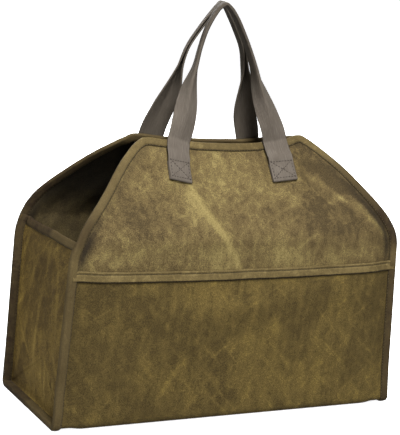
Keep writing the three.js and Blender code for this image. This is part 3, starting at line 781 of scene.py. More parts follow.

# %% [markdown]
# The pale lines lie on the ridges of the long folds, and on a few creases that show without much depth;
# they are partly rubbed wax and partly painted highlight. They are a short table of their own, in the same
# shares as the folds. A line with a strength below zero is painted shade in a valley. The painted shade in
# the valley beside the flange follows the edge and needs no table.

# %% Where the canvas is rubbed pale, and where crease highlight and shade are painted
FRONT_RUBS_AND_SHADING = [
    (-0.27, 0.84, -62, 0.05, 0.006, 0.8), (-0.19, 0.73, -52, 0.06, 0.008, 0.9),
    (-0.1, 0.64, -60, 0.05, 0.007, 0.6), (-0.04, 0.58, -66, 0.03, 0.006, 0.6),
    (-0.24, 0.72, -60, 0.12, 0.03, 0.25), (0.56, 0.79, -42, 0.1, 0.012, 0.35),
    (0.77, 0.74, -45, 0.09, 0.01, 0.65), (0.62, 0.845, -35, 0.1, 0.011, -0.5),
    (0.6, 0.805, -35, 0.1, 0.009, 0.5), (-0.6, 0.62, 20, 0.1, 0.02, 0.25),
    (0.2, 0.83, -5, 0.12, 0.03, 0.1), (-0.4, 0.4, 78, 0.08, 0.008, 0.3),
    (0.5, 0.33, 70, 0.07, 0.008, 0.25), (-0.42, 0.12, 55, 0.09, 0.008, 0.35),
    (-0.72, 0.35, 80, 0.08, 0.012, 0.25), (0.05, 0.3, 20, 0.14, 0.02, 0.15),
    (0.3, 0.12, -62, 0.07, 0.007, 0.3), (-0.15, 0.86, 0, 0.24, 0.16, 0.3),
    (0.35, 0.6, 0, 0.5, 0.05, 0.4), (0.45, 0.85, -20, 0.2, 0.09, -0.22),
    (-0.62, 0.3, 90, 0.17, 0.13, -0.2), (-0.55, 0.72, 70, 0.17, 0.11, -0.22),
    (-0.84, 0.19, -62, 0.05, 0.006, 0.5), (-0.71, 0.1, -65, 0.04, 0.006, 0.45),
]
BACK_RUBS_AND_SHADING = [
    (0.3, 0.74, -58, 0.1, 0.008, 0.6), (-0.35, 0.7, 55, 0.1, 0.01, 0.5),
    (0.05, 0.8, 12, 0.14, 0.02, 0.3), (-0.3, 0.3, 66, 0.08, 0.01, 0.3),
    (0.5, 0.3, -70, 0.08, 0.01, 0.3), (0.1, 0.15, 15, 0.12, 0.01, 0.2),
]


def near(x, at, reach):
    """1 at a place, and less and less away from it."""
    return np.exp(-((x - at) / reach) ** 2)


def valley_shade_at(wall, grid):
    """Painted shade in the valley beside the flange, darkest below the shoulder and on the right slant."""
    x, z = grid[..., 0], grid[..., 2]
    from_edge = (half_width(wall, x, z) - np.abs(x)) / slant_factor(wall, x, z)
    valley = near(from_edge, 1.15 * flange_length, 0.4 * flange_length)
    beside = near(from_edge, 1.25 * flange_length, 0.5 * flange_length)
    shoulder = near(z, shoulder_height * 0.97, shoulder_height * 0.1)
    below_top = 1 - smooth(z, shoulder_height * 1.1, cloth_top * 0.95)
    slant = (x > 0) * smooth(z, seam_height, shoulder_height) * below_top
    return np.clip(valley * 0.2 + beside * np.maximum(shoulder * 0.95, slant * 0.8), 0, 1)


# the lines are partly rubbed wax and partly painted highlight and shade on creases
print(len(FRONT_RUBS_AND_SHADING) + len(BACK_RUBS_AND_SHADING), "rubbed lines")

# %% [markdown]
# The sling is the long sheet that makes the front wall, the base and the back wall in one piece. It is the
# carrier's strongest part, because nothing in it is sewn where the logs lie.

# %% Make the sling
def calm_of(grid):
    """0 where the cloth is held flat, along its sides and its first and last rows, and 1 further in."""
    over, up = run_lengths(grid, 1), run_lengths(grid, 0)
    calm = smooth(np.minimum(over, over[:, -1:] - over), flange_length, flange_length * 4)
    for from_end in (up, up[-1:] - up):
        calm = calm * smooth(from_end, band_height * 0.6, band_height * 2.5)
    return calm


def make_sling():
    plain = np.stack(sling_rows)
    x, y, z = plain[..., 0], plain[..., 1], plain[..., 2]
    grid = crumpled(plain, calm_of(plain) * smooth(z, cloth, 3 * base_radius))
    rubs_and_shading = np.where(y < 0, ridges_at(FRONT_RUBS_AND_SHADING, x, z), ridges_at(BACK_RUBS_AND_SHADING, x, z))
    rubs_and_shading = rubs_and_shading * smooth(z, 2 * base_radius, 4 * base_radius)
    # painted shade in the valley beside the flange, on both walls
    darkened = np.where(y < 0, valley_shade_at(FRONT, plain), valley_shade_at(BACK, plain)) * (z > 2 * base_radius) * 0.6
    mesh = grid_mesh("sling", grid, (0, 0, -1), cloth_uv(plain), {"rub": rubs_and_shading, "soiled": darkened})
    piece = new_piece("sling", mesh, lower_canvas, "canvas_lower", "lower_body")
    return thicken(piece, cloth, inner_canvas), plain


sling, sling_grid = make_sling()
sling_length = float(run_lengths(sling_grid, 0)[-1, sling_grid.shape[1] // 2])
print("sling:", len(sling.data.polygons), "faces,", round(sling_length, 3), "m of cloth from seam to seam")

# %% [markdown]
# Each flap is sewn to the top of its wall. It narrows to the top edge and leans in until the two top edges
# almost meet, and a handle is sewn on it, so the cloth is calmed under its feet.

# %% Make the flaps
CORNER_RUN, CORNER_PULL, CORNER_FADE = 26 * MM, 3.2 * MM, 55 * MM
# how many columns in and rows down from a corner the two edges are sighted
SIGHT_COLUMNS, SIGHT_ROWS = 20, 11


def round_corners(grid):
    """Pulls the cloth in round its two top corners, which a folded tape can't follow sharply."""
    made = grid.copy()
    for end, inner in ((0, SIGHT_COLUMNS), (-1, -1 - SIGHT_COLUMNS)):
        corner, top, slant = grid[-1, end], grid[-1, inner], grid[-1 - SIGHT_ROWS, end]
        inward = unit(unit(top - corner) + unit(slant - corner))
        pull = CORNER_PULL * np.clip(1 - np.linalg.norm(grid - corner, axis=2) / CORNER_RUN, 0, 1) ** 2
        made += inward * pull[..., None]
    return made


def moved_corner(wall, grid):
    """The right top corner pulled in and up along the slant, as the sagging top edge leaves it."""
    sideways, up = wall["corner"]
    share = 1 - smooth(np.linalg.norm(grid - grid[-1, -1], axis=2), 0, CORNER_FADE)
    return grid + share[..., None] * np.array([sideways, 0, up])


def make_flap(wall, rubs_and_shading, side):
    plain = round_corners(moved_corner(wall, np.stack(flap_rows(wall))))
    x, z = plain[..., 0], plain[..., 2]
    calm = calm_of(plain) * (1 - foot_at(wall, x, z))
    plain = plain * np.array([1, -side, 1])
    grid = crumpled(plain, calm)
    values = {"rub": ridges_at(rubs_and_shading, x, z), "soiled": valley_shade_at(wall, plain)}
    mesh = grid_mesh(wall["name"] + "_flap_cloth", grid, (0, side, 0), cloth_uv(plain), values)
    piece = new_piece(mesh.name, mesh, upper_canvas, "canvas_upper", wall["name"] + "_flap")
    return thicken(piece, cloth, inner_canvas), plain


front_flap, front_flap_grid = make_flap(FRONT, FRONT_RUBS_AND_SHADING, -1)
back_flap, back_flap_grid = make_flap(BACK, BACK_RUBS_AND_SHADING, 1)
print("flaps:", len(front_flap.data.polygons) + len(back_flap.data.polygons), "faces")

# %% [markdown]
# ## End panels
# An end panel's edge lies inside the flange that stands out all round the end. From there the cloth bends
# inward and fills the end, dented a little, and its top edge sags. The rows run from the flange in to a
# middle line, like the hoops of half a barrel, so that the corners at the base turn without a fold.

# %% Flange stations round an end
EDGE_COLUMNS = {-1: (0, 5), 1: (-1, -6)}


def flange_stations(rows, side):
    """The cloth's edge round an end, the way out of the cloth there, and the way its outer face looks."""
    column, inner = EDGE_COLUMNS[side]
    tip = np.array([row[column] for row in rows])
    inward = np.array([row[inner] for row in rows])
    run = unit(np.gradient(tip, axis=0))
    out = unit(without(unit(tip - inward), run))
    face = unit(np.cross(out, run) * -side)
    return {"at": tip, "out": out, "face": face, "run": run}


shoulder_rows = np.linspace(shoulder_height, seam_height, LOW_FLAP_ROWS)[:-1]
ring_rows = [wall_row(FRONT, z) for z in shoulder_rows] + sling_rows
ring_rows += turned_round([wall_row(BACK, z) for z in shoulder_rows])[::-1]
print("stations round an end:", len(ring_rows))

# %% Fill an end
# the flange's section as shares of its length, and the steps from its root in to the middle line
BEND_OUT = np.array([0, -0.3, -0.6, -0.88, -0.97, -1.03, -1.07, -1.1])
BEND_IN = np.array([0, 0, 0, 0, 0.03, 0.1, 0.15, 0.2])
INWARD = np.linspace(0, 1, 25)[1:]


def flange_at(stations, i):
    """The end panel's flange at one station: inside the wall's flange, and bent inward at its root."""
    outward = stations["at"][i] + stations["out"][i] * BEND_OUT[:, None] * flange_length
    return outward - stations["face"][i] * (layer + BEND_IN[:, None] * flange_length)


def end_grid(stations, side):
    """Rows of an end panel from its top edge down to its foot."""
    at = stations["at"]
    count = len(at)
    middle = count // 2
    foot = int(np.argmax(at[:, 2] < spine_foot))
    rows = []
    for i in range(middle + 1):
        low = max(i - foot, 0) / (middle - foot)
        spine = at[i, 2] if i < foot else spine_foot * (1 - 0.5 * low)
        flanges = [flange_at(stations, j) for j in (i, count - 1 - i)]
        middle_x = (flanges[0][-1][0] + flanges[1][-1][0]) / 2
        halves = []
        for flange in flanges:
            start = flange[-1]
            y, z = mixed(start[1], 0, INWARD), mixed(start[2], spine, INWARD)
            level = 1 - (y / (shoulder_depth / 2)) ** 2
            rise = z / shoulder_height
            sag = end_sag * level * smooth(rise, 0.5, 1)
            dent = end_dent * level * np.sin(math.pi * np.clip(rise, 0, 1) ** 1.3)
            x = mixed(start[0], middle_x, smooth(INWARD, 0, 1)) - side * dent
            halves.append(np.concatenate([flange, np.stack([x, y, z - sag], 1)]))
        rows.append(np.concatenate([halves[0], halves[1][:-1][::-1]]))
    return np.stack(rows)


# %% Make the end panels
# pale lines on the end's creases: partly rubbed wax and partly painted highlight
# the first place runs from front to back here, and is still a share of half the width
END_RUBS_AND_HIGHLIGHTS = [
    (-0.1, 0.42, 84, 0.1, 0.006, 0.35), (0.12, 0.3, 96, 0.11, 0.007, 0.3),
    (0.02, 0.16, 70, 0.09, 0.006, 0.3), (-0.2, 0.2, 100, 0.08, 0.006, 0.25),
    (0.2, 0.5, 80, 0.07, 0.006, 0.25), (0.3, 0.55, 118, 0.04, 0.006, 0.5),
    (0.2, 0.46, 112, 0.05, 0.006, 0.45), (0.04, 0.52, 106, 0.05, 0.006, 0.4),
    (0.32, 0.34, 128, 0.035, 0.006, 0.5), (0.25, 0.25, 100, 0.05, 0.006, 0.5),
    (0.12, 0.2, 82, 0.05, 0.006, 0.5), (-0.06, 0.12, 78, 0.05, 0.006, 0.5),
    (-0.18, 0.32, 97, 0.05, 0.006, 0.4), (0.3, 0.13, 96, 0.035, 0.006, 0.45),
    (-0.25, 0.45, 98, 0.05, 0.006, 0.35),
]
PLEAT_WIDTH, PLEAT_LENGTH, PLEAT_DEPTH, PLEAT_BOW = 21 * MM, 190 * MM, 1.1 * MM, 35 * MM


def pleats_at(grid, side):
    """Soft upright pleats that bow to the back half way up, as the cloth between two seams does."""
    y, z = grid[..., 1], grid[..., 2]
    bowed = y + PLEAT_BOW * (z / (shoulder_height / 2) - 1) ** 2
    places = zip(bowed.ravel() / PLEAT_WIDTH, z.ravel() / PLEAT_LENGTH)
    return np.array([noise.noise(Vector((u, v, side * 4.0))) for u, v in places]).reshape(y.shape)


def make_end(name, side):
    stations = flange_stations(ring_rows, side)
    plain = end_grid(stations, side)
    over = run_lengths(plain, 1)
    calm = smooth(np.minimum(over, over[:, -1:] - over), flange_length, flange_length * 3)
    up = run_lengths(plain, 0)
    calm = calm * smooth(up, tape_lap, tape_lap * 3)
    grid = crumpled(plain, calm)
    grid[..., 0] += side * PLEAT_DEPTH * pleats_at(plain, side) * calm
    rubs_and_shading = ridges_at(END_RUBS_AND_HIGHLIGHTS, plain[..., 1], plain[..., 2])
    mesh = grid_mesh(name + "_end_cloth", grid, (side, 0, 0), plain[..., 1:], {"rub": rubs_and_shading})
    merge_doubles(mesh)
    piece = new_piece(mesh.name, mesh, end_canvas, "canvas_end", name + "_end_panel")
    return thicken(piece, cloth, inner_canvas), stations, plain


left_end, left_stations, left_end_grid = make_end("left", -1)
right_end, right_stations, right_end_grid = make_end("right", 1)
print("end panels:", len(left_end.data.polygons) + len(right_end.data.polygons), "faces")

# %% [markdown]
# ## Tape
# All the tapes are one idea: a narrow woven strip that follows an edge. A folded one grips the cloth from
# both sides, a flat one covers the seam on the wall. A Geometry Nodes tree does this for all of them. It
# takes the edge as a line whose points know the way out of the cloth, sets the curve's normal to it, and
# sweeps a section along it. The section is pressed in where the needle goes, and the groove beside the edge
# is darkened further by painted shade that the section stores.

# %% The tape finish
def tape_finish(name, deep, middle, pale):
    """Woven tape in three tones, with painted shade in its grooves, and darker where it is soiled and where
    painted shade lies.
    """
    finish, wire = new_finish(name)
    place, groove, soiled = wire.place(), wire.stored("groove"), wire.stored("soiled")
    clouds, blots = wire.noise(place, 20.0, 3.0), wire.noise(place, 120.0, 4.0, 0.5, 0.6)
    grain = wire.noise(place, 900.0, 2.0).between(0.3, 0.7)
    paleness = clouds * 0.7 + blots * 0.45
    colour = paleness.between(0.4, 0.75).mix(deep, middle)
    colour = (blots.between(0.56, 0.76) * 0.4).mix(colour, pale)
    colour = (grain * 0.5).mix(colour, grain.mix(paint("4d4d4d"), paint("ffffff")), "SOFT_LIGHT")
    # darker where dirt and painted shade are stored
    colour = (soiled * (0.4 + blots * 1.1)).mix(colour, paint("2c2010"))
    # painted shade in the grooves and in the dark lip under a band
    colour = (groove * (0.85 - soiled * 0.5)).mix(colour, paint("1f170b"))
    close_finish(wire, colour, 0.9 - paleness * 0.1, grain + blots, 0.5, 0.4 * MM, 0.25)
    return finish


tape_cloth = tape_finish("tape_cloth", paint("524527"), paint("6a5b38"), paint("84744a"))
print("tape finish:", tape_cloth.name)

# %% Wire a node tree for Geometry Nodes
def new_tree(name, inputs):
    """A Geometry Nodes tree with named inputs, and a wire into it from each of them."""
    tree = bpy.data.node_groups.new(name, "GeometryNodeTree")
    tree.interface.new_socket("Geometry", in_out="INPUT", socket_type="NodeSocketGeometry")
    tree.interface.new_socket("Geometry", in_out="OUTPUT", socket_type="NodeSocketGeometry")
    for label, kind, value in inputs:
        socket = tree.interface.new_socket(label, in_out="INPUT", socket_type=kind)
        if value is not None:
            socket.default_value = value
    entry = tree.nodes.new("NodeGroupInput")
    return tree, {socket.name: Wire(tree, socket) for socket in entry.outputs if socket.name}


def close_tree(wire, geometry, finish):
    real = wire.node("GeometryNodeRealizeInstances", {}, {"Geometry": geometry})
    painted = wire.node("GeometryNodeSetMaterial", {}, {"Geometry": real, "Material": finish})
    wire.node("NodeGroupOutput", {}, {"Geometry": painted})


def line_mesh(name, points, vectors=None, closed=False):
    """A line of points as a mesh, with vectors stored on them by name."""
    mesh = bpy.data.meshes.new(name)
    count = len(points)
    edges = [(i, i + 1) for i in range(count - 1)] + ([(count - 1, 0)] if closed else [])
    mesh.from_pydata([tuple(map(float, p)) for p in points], edges, [])
    for key, value in (vectors or {}).items():
        store(mesh, key, value, "FLOAT_VECTOR")
    return mesh


def run_tree(name, mesh, tree, values):
    """Runs a tree on a mesh and gives the plain mesh that comes out, with the modifier gone."""
    line = new_object(name + "_line", mesh)
    modifier = line.modifiers.new("tree", "NODES")
    modifier.node_group = tree
    for item in tree.interface.items_tree:
        if item.item_type == "SOCKET" and item.in_out == "INPUT" and item.name in values:
            modifier[item.identifier] = values[item.name]
    graph = bpy.context.evaluated_depsgraph_get()
    made = bpy.data.meshes.new_from_object(line.evaluated_get(graph), depsgraph=graph)
    made.name = name
    bpy.data.objects.remove(line)
    return made


print("a tree ends in Realize Instances and Set Material, because the export drops instances")

# %% Build the tape tree
def build_tape_tree():
    inputs = [("Section", "NodeSocketObject", None), ("Wobble", "NodeSocketFloat", 0.3 * MM),
              ("Seed", "NodeSocketFloat", 1.0), ("Finish", "NodeSocketMaterial", None)]
    tree, given = new_tree("tape_along_an_edge", inputs)
    wire = given["Geometry"]
    line = wire.node("GeometryNodeMeshToCurve", {}, {"Mesh": wire})
    out = wire.node("GeometryNodeInputNamedAttribute", {"data_type": "FLOAT_VECTOR"}, {"Name": "out"})
    turned = wire.node("GeometryNodeSetCurveNormal", {"mode": "FREE"}, {"Curve": line, "Normal": out})
    sockets = {"W": given["Seed"], "Scale": 70.0, "Detail": 1.0}
    drift = wire.node("ShaderNodeTexNoise", {"noise_dimensions": "4D"}, sockets, "Color")
    centred = wire.node("ShaderNodeVectorMath", {"operation": "SUBTRACT"}, {0: drift, 1: (0.5, 0.5, 0.5)})
    small = wire.node("ShaderNodeVectorMath", {"operation": "SCALE"}, {0: centred, "Scale": given["Wobble"]})
    moved = wire.node("GeometryNodeSetPosition", {}, {"Geometry": turned, "Offset": small})
    shape = wire.node("GeometryNodeObjectInfo", {}, {"Object": given["Section"]}, "Geometry")
    section = wire.node("GeometryNodeMeshToCurve", {}, {"Mesh": shape})
    sockets = {"Curve": moved, "Profile Curve": section, "Fill Caps": True}
    swept = wire.node("GeometryNodeCurveToMesh", {}, sockets)
    close_tree(wire, swept, given["Finish"])
    return tree


tape_tree = build_tape_tree()
print("tape tree has", len(tape_tree.nodes), "nodes")

# %% [markdown]
# Two kinds of section are enough: a folded tape that goes round one or two layers of cloth, and a flat
# band. Each is the same on its two faces, so it doesn't matter from which end a curve runs.

# %% Draw the tape's sections
def tape_inside(layers):
    """How far the inner face of a folded tape lies from the middle of what it grips."""
    return layers * cloth / 2 + (layers - 1) * sewn_gap / 2 + sewn_gap


def folded_section(layers):
    """A folded tape round layers of cloth: the way out from their edge, the way through, and the painted
    groove shade.
    """
    inner = tape_inside(layers)
    outer, lap = inner + tape, tape_lap
    side = [(-lap, inner - 0.2 * MM, 1), (-lap, inner + 0.4 * MM, 1), (-lap + 0.6 * MM, inner + 0.5 * MM, 1),
            (-lap + 1.2 * MM, inner + 0.5 * MM, 0.9), (-lap + 1.7 * MM, outer - 0.1 * MM, 0.1),
            (-lap + 2.6 * MM, outer + 0.25 * MM, 0), (-lap * 0.45, outer + 0.35 * MM, 0),
            (-1.5 * MM, outer, 0)]
    turns = np.linspace(0.35, math.pi - 0.35, 7)
    bend = [(sewn_gap + tape * math.sin(a), -outer * math.cos(a), 0) for a in turns]
    inside = [(-lap * 0.5, inner, 0), (0, inner, 0), (sewn_gap, 0, 0), (0, -inner, 0),
              (-lap * 0.5, -inner, 0)]
    return [(x, -y, g) for x, y, g in side] + bend + side[::-1] + inside


def band_section():
    """A flat band with a groove below its upper edge, darkened by painted shade. Its lower edge is folded
    under and stands out, over a dark lip on the cloth that is a painted shadow.
    """
    half, thick = band_height / 2, tape / 2
    # shares of the half height and the half thickness, and the painted groove shade
    # the first rows are a thin dark lip lying on the cloth below the band: a painted shadow
    rows = [(-1.3, 0, 1), (-1.26, 0.2, 1), (-1.02, 0.4, 1), (-0.98, 2.1, 0.6), (-0.88, 2.3, 0),
            (-0.5, 1.7, 0), (-0.1, 1.3, 0), (0.3, 1.1, 0), (0.4, 0.2, 0.6), (0.48, 0.2, 0.6), (0.58, 1.1, 0),
            (0.8, 1.2, 0), (0.95, 0.9, 0), (1, 0, 0.4)]
    upper = [(share * half, lift * thick, groove) for share, lift, groove in rows]
    return upper + [(x, -min(y, thick), g) for x, y, g in upper[1:-1][::-1]]


def section_object(name, outline):
    mesh = line_mesh(name, [(x, y, 0) for x, y, groove in outline], closed=True)
    store(mesh, "groove", [groove for x, y, groove in outline])
    section = new_object(name, mesh)
    section.hide_render = True
    return section


one_layer = section_object("tape_round_one_layer", folded_section(1))
two_layers = section_object("tape_round_two_layers", folded_section(2))
flat_band = section_object("flat_band", band_section())
print("sections with", [len(o.data.vertices) for o in (one_layer, two_layers, flat_band)], "points")

# %% Lay the tapes
CLEAR_OF_END = 0.5 * MM


def cut_ends(stations, start, end):
    """The stations between two distances from the ends of the line."""
    reach = run_lengths(stations["at"][:, None], 0)[:, 0]
    keep = (reach > start + CLEAR_OF_END) & (reach < reach[-1] - end - CLEAR_OF_END)
    places = np.concatenate([[start], reach[keep], [reach[-1] - end]])
    cut = {}
    for key, value in stations.items():
        cut[key] = np.stack([np.interp(places, reach, value[:, axis]) for axis in range(3)], 1)
    return cut


def tape_dirt_and_shade(points):
    """Darker places on a tape, partly dirt and partly painted shade: most on the shoulders, some on the
    slants and down the seams, more on the right and at the back, where it is painted shade.
    """
    x, y, z = points.T
    right, back = smooth(x, 0, top_half), smooth(y, 0, mouth_half)
    shoulder = near(z, shoulder_height * 1.04, shoulder_height * 0.14)
    slant = smooth(z, shoulder_height * 0.9, shoulder_height * 1.1)
    slant = slant * (1 - smooth(z, cloth_top * 0.9, cloth_top * 0.97))
    seam = 1 - smooth(z, seam_height * 0.9, seam_height * 1.1)
    darkened = 0.18 + shoulder * (0.35 + 0.4 * right) + slant * (0.2 + 0.2 * right)
    return np.clip(darkened + back * 0.4 + seam * (0.3 + 0.3 * right), 0, 1)


def lay_tape(name, stations, section, seed, node, wobble=0.5 * MM, soiled=tape_dirt_and_shade):
    line = line_mesh(name, stations["at"], {"out": unit(stations["out"])})
    values = {"Section": section, "Wobble": wobble, "Seed": float(seed), "Finish": tape_cloth}
    mesh = run_tree(name, line, tape_tree, values)
    points = np.array([vertex.co for vertex in mesh.vertices])
    store(mesh, "soiled", soiled(points))
    return new_piece(name, mesh, tape_cloth, "tape", node)


def clean(points):
    return np.zeros(len(points))


def shifted(stations, distance):
    return {**stations, "at": stations["at"] + stations["face"] * distance}


SHOULDER_LAP = 7.6 * MM
seam_tapes = []
for side_name, stations, seed in (("left", left_stations, 1), ("right", right_stations, 2)):
    between = cut_ends(shifted(stations, -layer / 2), SHOULDER_LAP, SHOULDER_LAP)
    node = side_name + "_seam_binding"
    seam_tapes.append(lay_tape(side_name + "_seam_tape", between, two_layers, seed, node))
print("seam tapes:", [len(o.data.polygons) for o in seam_tapes], "faces")

# %% Tape round a flap's free edge
RIM_START, ROWS_DOWN, SMOOTHINGS = 8, 3, 3


def rim_stations(grid):
    """Stations up one slant, along the top and down the other slant of a flap."""
    slants = grid[RIM_START:-1]
    (left, left_inner), (right, right_inner) = EDGE_COLUMNS[-1], EDGE_COLUMNS[1]
    tips = np.concatenate([slants[:, left], grid[-1], slants[::-1, right]])
    inward = np.concatenate([slants[:, left_inner], grid[-1 - ROWS_DOWN], slants[::-1, right_inner]])
    run = unit(np.gradient(tips, axis=0))
    out = unit(without(unit(tips - inward), run))
    for _ in range(SMOOTHINGS):
        out[1:-1] = unit(out[:-2] + out[1:-1] * 2 + out[2:])
    out = unit(without(out, run))
    return {"at": tips, "out": out, "face": unit(np.cross(run, out)), "run": run}


front_rim = cut_ends(rim_stations(front_flap_grid), sewn_gap, sewn_gap)
back_rim = cut_ends(rim_stations(back_flap_grid), sewn_gap, sewn_gap)
flap_tapes = [lay_tape("front_rim_tape", front_rim, one_layer, 3, "front_flap_binding"),
              lay_tape("back_rim_tape", back_rim, one_layer, 4, "back_flap_binding")]
print("rim tapes:", [len(o.data.polygons) for o in flap_tapes], "faces")

# %% Tape over the end panels' top edges, and the bands
def end_edge_stations(grid, side):
    top, below = grid[0], grid[1]
    run = unit(np.gradient(top, axis=0))
    out = unit(without(top - below, run))
    return {"at": top, "out": out, "face": unit(np.cross(run, out) * side), "run": run}


def band_stations(wall, side):
    row = wall_row(wall, seam_height)[1:-1]
    up, down = wall_row(wall, seam_height + band_height / 2), wall_row(wall, seam_height - band_height / 2)
    out = unit(up[1:-1] - down[1:-1])
    run = unit(np.gradient(row, axis=0))
    face = unit(np.cross(run, out))
    at = row + face * (cloth / 2 + sewn_gap + tape / 2)
    flip = np.array([1, -side, 1])
    return {"at": at * flip, "out": out * flip, "face": face * flip, "run": run * flip}


BAND_WOBBLE = 0.8 * MM
end_edges = {"left": end_edge_stations(left_end_grid, -1), "right": end_edge_stations(right_end_grid, 1)}
bands = {"front": band_stations(FRONT, -1), "back": band_stations(BACK, 1)}
for seed, (side_name, stations) in enumerate(end_edges.items(), 5):
    edge = cut_ends(stations, sewn_gap, sewn_gap)
    lay_tape(side_name + "_edge_tape", edge, one_layer, seed, side_name + "_end_binding")
for seed, (side_name, stations) in enumerate(bands.items(), 7):
    lay_tape(side_name + "_seam_band", stations, flat_band, seed, side_name + "_band", BAND_WOBBLE, clean)
print("laid", len(end_edges), "edge tapes and", len(bands), "bands")

# %% [markdown]
# ## Handles
# Each handle is one length of cotton webbing. Its two ends are sewn flat on the flap with a stitched cross
# in a box, and on the way up it folds in half along its length, crease outward, so that the grip is narrow
# and thick. The middle line is a smooth curve through the table's places, and the fold is a rule: each
# point across the strap turns by a share of a right angle that grows quickly from the crease.

# %% A curve through a strap's places
HEM_LIFT, HEM_LENGTH, FOOT_RAISED, OVER_RIM = 2.1 * MM, 25 * MM, 4 * MM, 1.1 * MM
# how far the grip is turned at its left and its right end, in degrees, and the points along a strap
GRIP_TURNS, STRAP_POINTS = (22, 8), 230


def curve_through(points, count):
    """Points on a centripetal curve through the given ones, evenly shared among its spans."""
    points = np.asarray(points, float)
    ends = np.concatenate([[2 * points[0] - points[1]], points, [2 * points[-1] - points[-2]]])
    made = []
    for t in np.linspace(0, len(points) - 1, count):
        i = min(int(t), len(points) - 2)
        w = t - i
        p0, p1, p2, p3 = ends[i:i + 4]
        d0, d1, d2 = (max(np.linalg.norm(b - a) ** 0.5, 1e-6) for a, b in ((p0, p1), (p1, p2), (p2, p3)))
        m1 = ((p1 - p0) / d0 - (p2 - p0) / (d0 + d1) + (p2 - p1) / d1) * d1
        m2 = ((p2 - p1) / d1 - (p3 - p1) / (d1 + d2) + (p3 - p2) / d2) * d1
        square, cube = -3 * p1 + 3 * p2 - 2 * m1 - m2, 2 * p1 - 2 * p2 + m1 + m2
        made.append(p1 + m1 * w + square * w ** 2 + cube * w ** 3)
    return np.array(made)


print("a strap is", round(strap_width / MM), "mm wide and has", STRAP_POINTS, "points along it")

# %% The handle's middle line
def handle_stations(wall, legs, side):
    """A strap's middle line: flat on the flap up to its top edge, then free and turned to the grip."""
    grip = handle_height - strap_thickness - leaf_gap / 2
    foot = strap_foot + FOOT_RAISED
    heights = mixed(foot, grip, np.array(RISES))

    def leg(name):
        places = np.array(legs[name]) * handle_spacing / 2 + wall["shift"]
        return np.stack([places, np.array(FOLDED) * MM, heights], 1)

    samples = curve_through(np.concatenate([leg("left"), leg("right")[:-1][::-1]]), STRAP_POINTS)
    x, fold, z = samples[:, 0], np.clip(samples[:, 1] / MM, 0, 1), samples[:, 2]
    flat_offset = cloth / 2 + 1.5 * sewn_gap + strap_thickness / 2
    top = cloth_top - top_sag * 0.6 + wall["corner"][1] * 0.5
    reach, step = strap_width / 2, tape_lap / 2
    low = np.minimum(z, top)
    turn_off = (wall_depth(wall, x + reach, low) - wall_depth(wall, x - reach, low)) / (2 * reach)
    climb = (wall_depth(wall, x, low + step) - wall_depth(wall, x, low - step)) / (2 * step)
    lean = np.stack([turn_off, np.ones_like(x), climb], 1)
    proud = [wall_depth(wall, x + s * reach, low) - s * reach * turn_off for s in (-1, -0.5, 0, 0.5, 1)]
    over_rim = flat_offset + tape + sewn_gap + OVER_RIM
    lift = mixed(flat_offset, over_rim, smooth(z, top - 3 * tape_lap, top - 1.6 * tape_lap))
    lift = lift + HEM_LIFT * (1 - smooth(z, foot + HEM_LENGTH + MM, foot + HEM_LENGTH + 11 * MM))
    on_flap = np.max(proud, axis=0) + lift * np.linalg.norm(lean, axis=1)
    free = smooth(z, top, mixed(top, grip, 0.5))
    depth = mixed(on_flap, strap_width / 4 + strap_thickness + grip_gap / 2, free)
    at = np.stack([x, -depth, z], 1)
    run = unit(np.gradient(at, axis=0))
    angle = np.radians(mixed(*GRIP_TURNS, smooth(np.linspace(0, 1, STRAP_POINTS), 0.3, 0.7))) * -side
    flat = unit(np.stack([-turn_off, -np.ones_like(x), -climb], 1))
    held = np.stack([-np.sin(angle), -np.cos(angle), np.zeros(STRAP_POINTS)], 1)
    out = unit(without(mixed(flat, held, free[:, None]), run))
    return {"at": at, "out": out, "face": np.cross(run, out), "run": run, "fold": fold}


front_strap = handle_stations(FRONT, FRONT_LEGS, -1)
back_strap = handle_stations(BACK, BACK_LEGS, 1)
for key in ("at", "out", "face", "run"):
    back_strap[key] = back_strap[key] * np.array([1, -1, 1])
strap_length = float(run_lengths(front_strap["at"][:, None], 0)[-1, 0])
print("front strap:", round(strap_length, 3), "m from foot to foot")

# %% The webbing finish
def webbing_finish(name, deep, middle, pale):
    """Cotton webbing in three tones: yarns that run along it, ribs, dirt where it is held, and painted shade
    along the back strap.
    """
    finish, wire = new_finish(name)
    thread = wire.node("ShaderNodeUVMap", {"uv_map": "cloth"})
    lines = wire.node("ShaderNodeMapping", {}, {"Vector": thread, "Scale": (1.0, 0.08, 1.0)})
    clouds, yarn = wire.noise(wire.place(), 22.0, 4.0), wire.noise(lines, 900.0, 3.0)
    ribs, cross = wire.wave(thread, 190.0, "X"), wire.wave(thread, 240.0, "Y")
    tone = clouds * 0.5 + yarn * 0.5
    colour = tone.between(0.3, 0.7).mix(deep, middle)
    colour = (yarn.between(0.5, 0.75) * 0.35).mix(colour, pale)
    colour = ((1 - ribs) * 0.3).mix(colour, deep)
    # dirt at the grips, and painted shade all along the back strap
    colour = (wire.stored("soiled") * (0.6 + clouds * 0.8)).mix(colour, paint("2c261b"))
    height = ribs + cross * ribs * 0.7 + yarn * 0.4
    close_finish(wire, colour, 0.92 - tone * 0.1, height, 0.6, 0.5 * MM, 0.22)
    return finish


webbing = webbing_finish("cotton_webbing", paint("595148"), paint("6b635a"), paint("7b736a"))
print("webbing finish:", webbing.name)

# %% Fold a strap
HALF_ACROSS = [0.05, 0.1, 0.18, 0.3, 0.45, 0.62, 0.8, 0.93, 1]
ACROSS = np.array([-x for x in HALF_ACROSS[::-1]] + [0] + HALF_ACROSS)
CREASE_RADIUS = 1.9 * MM


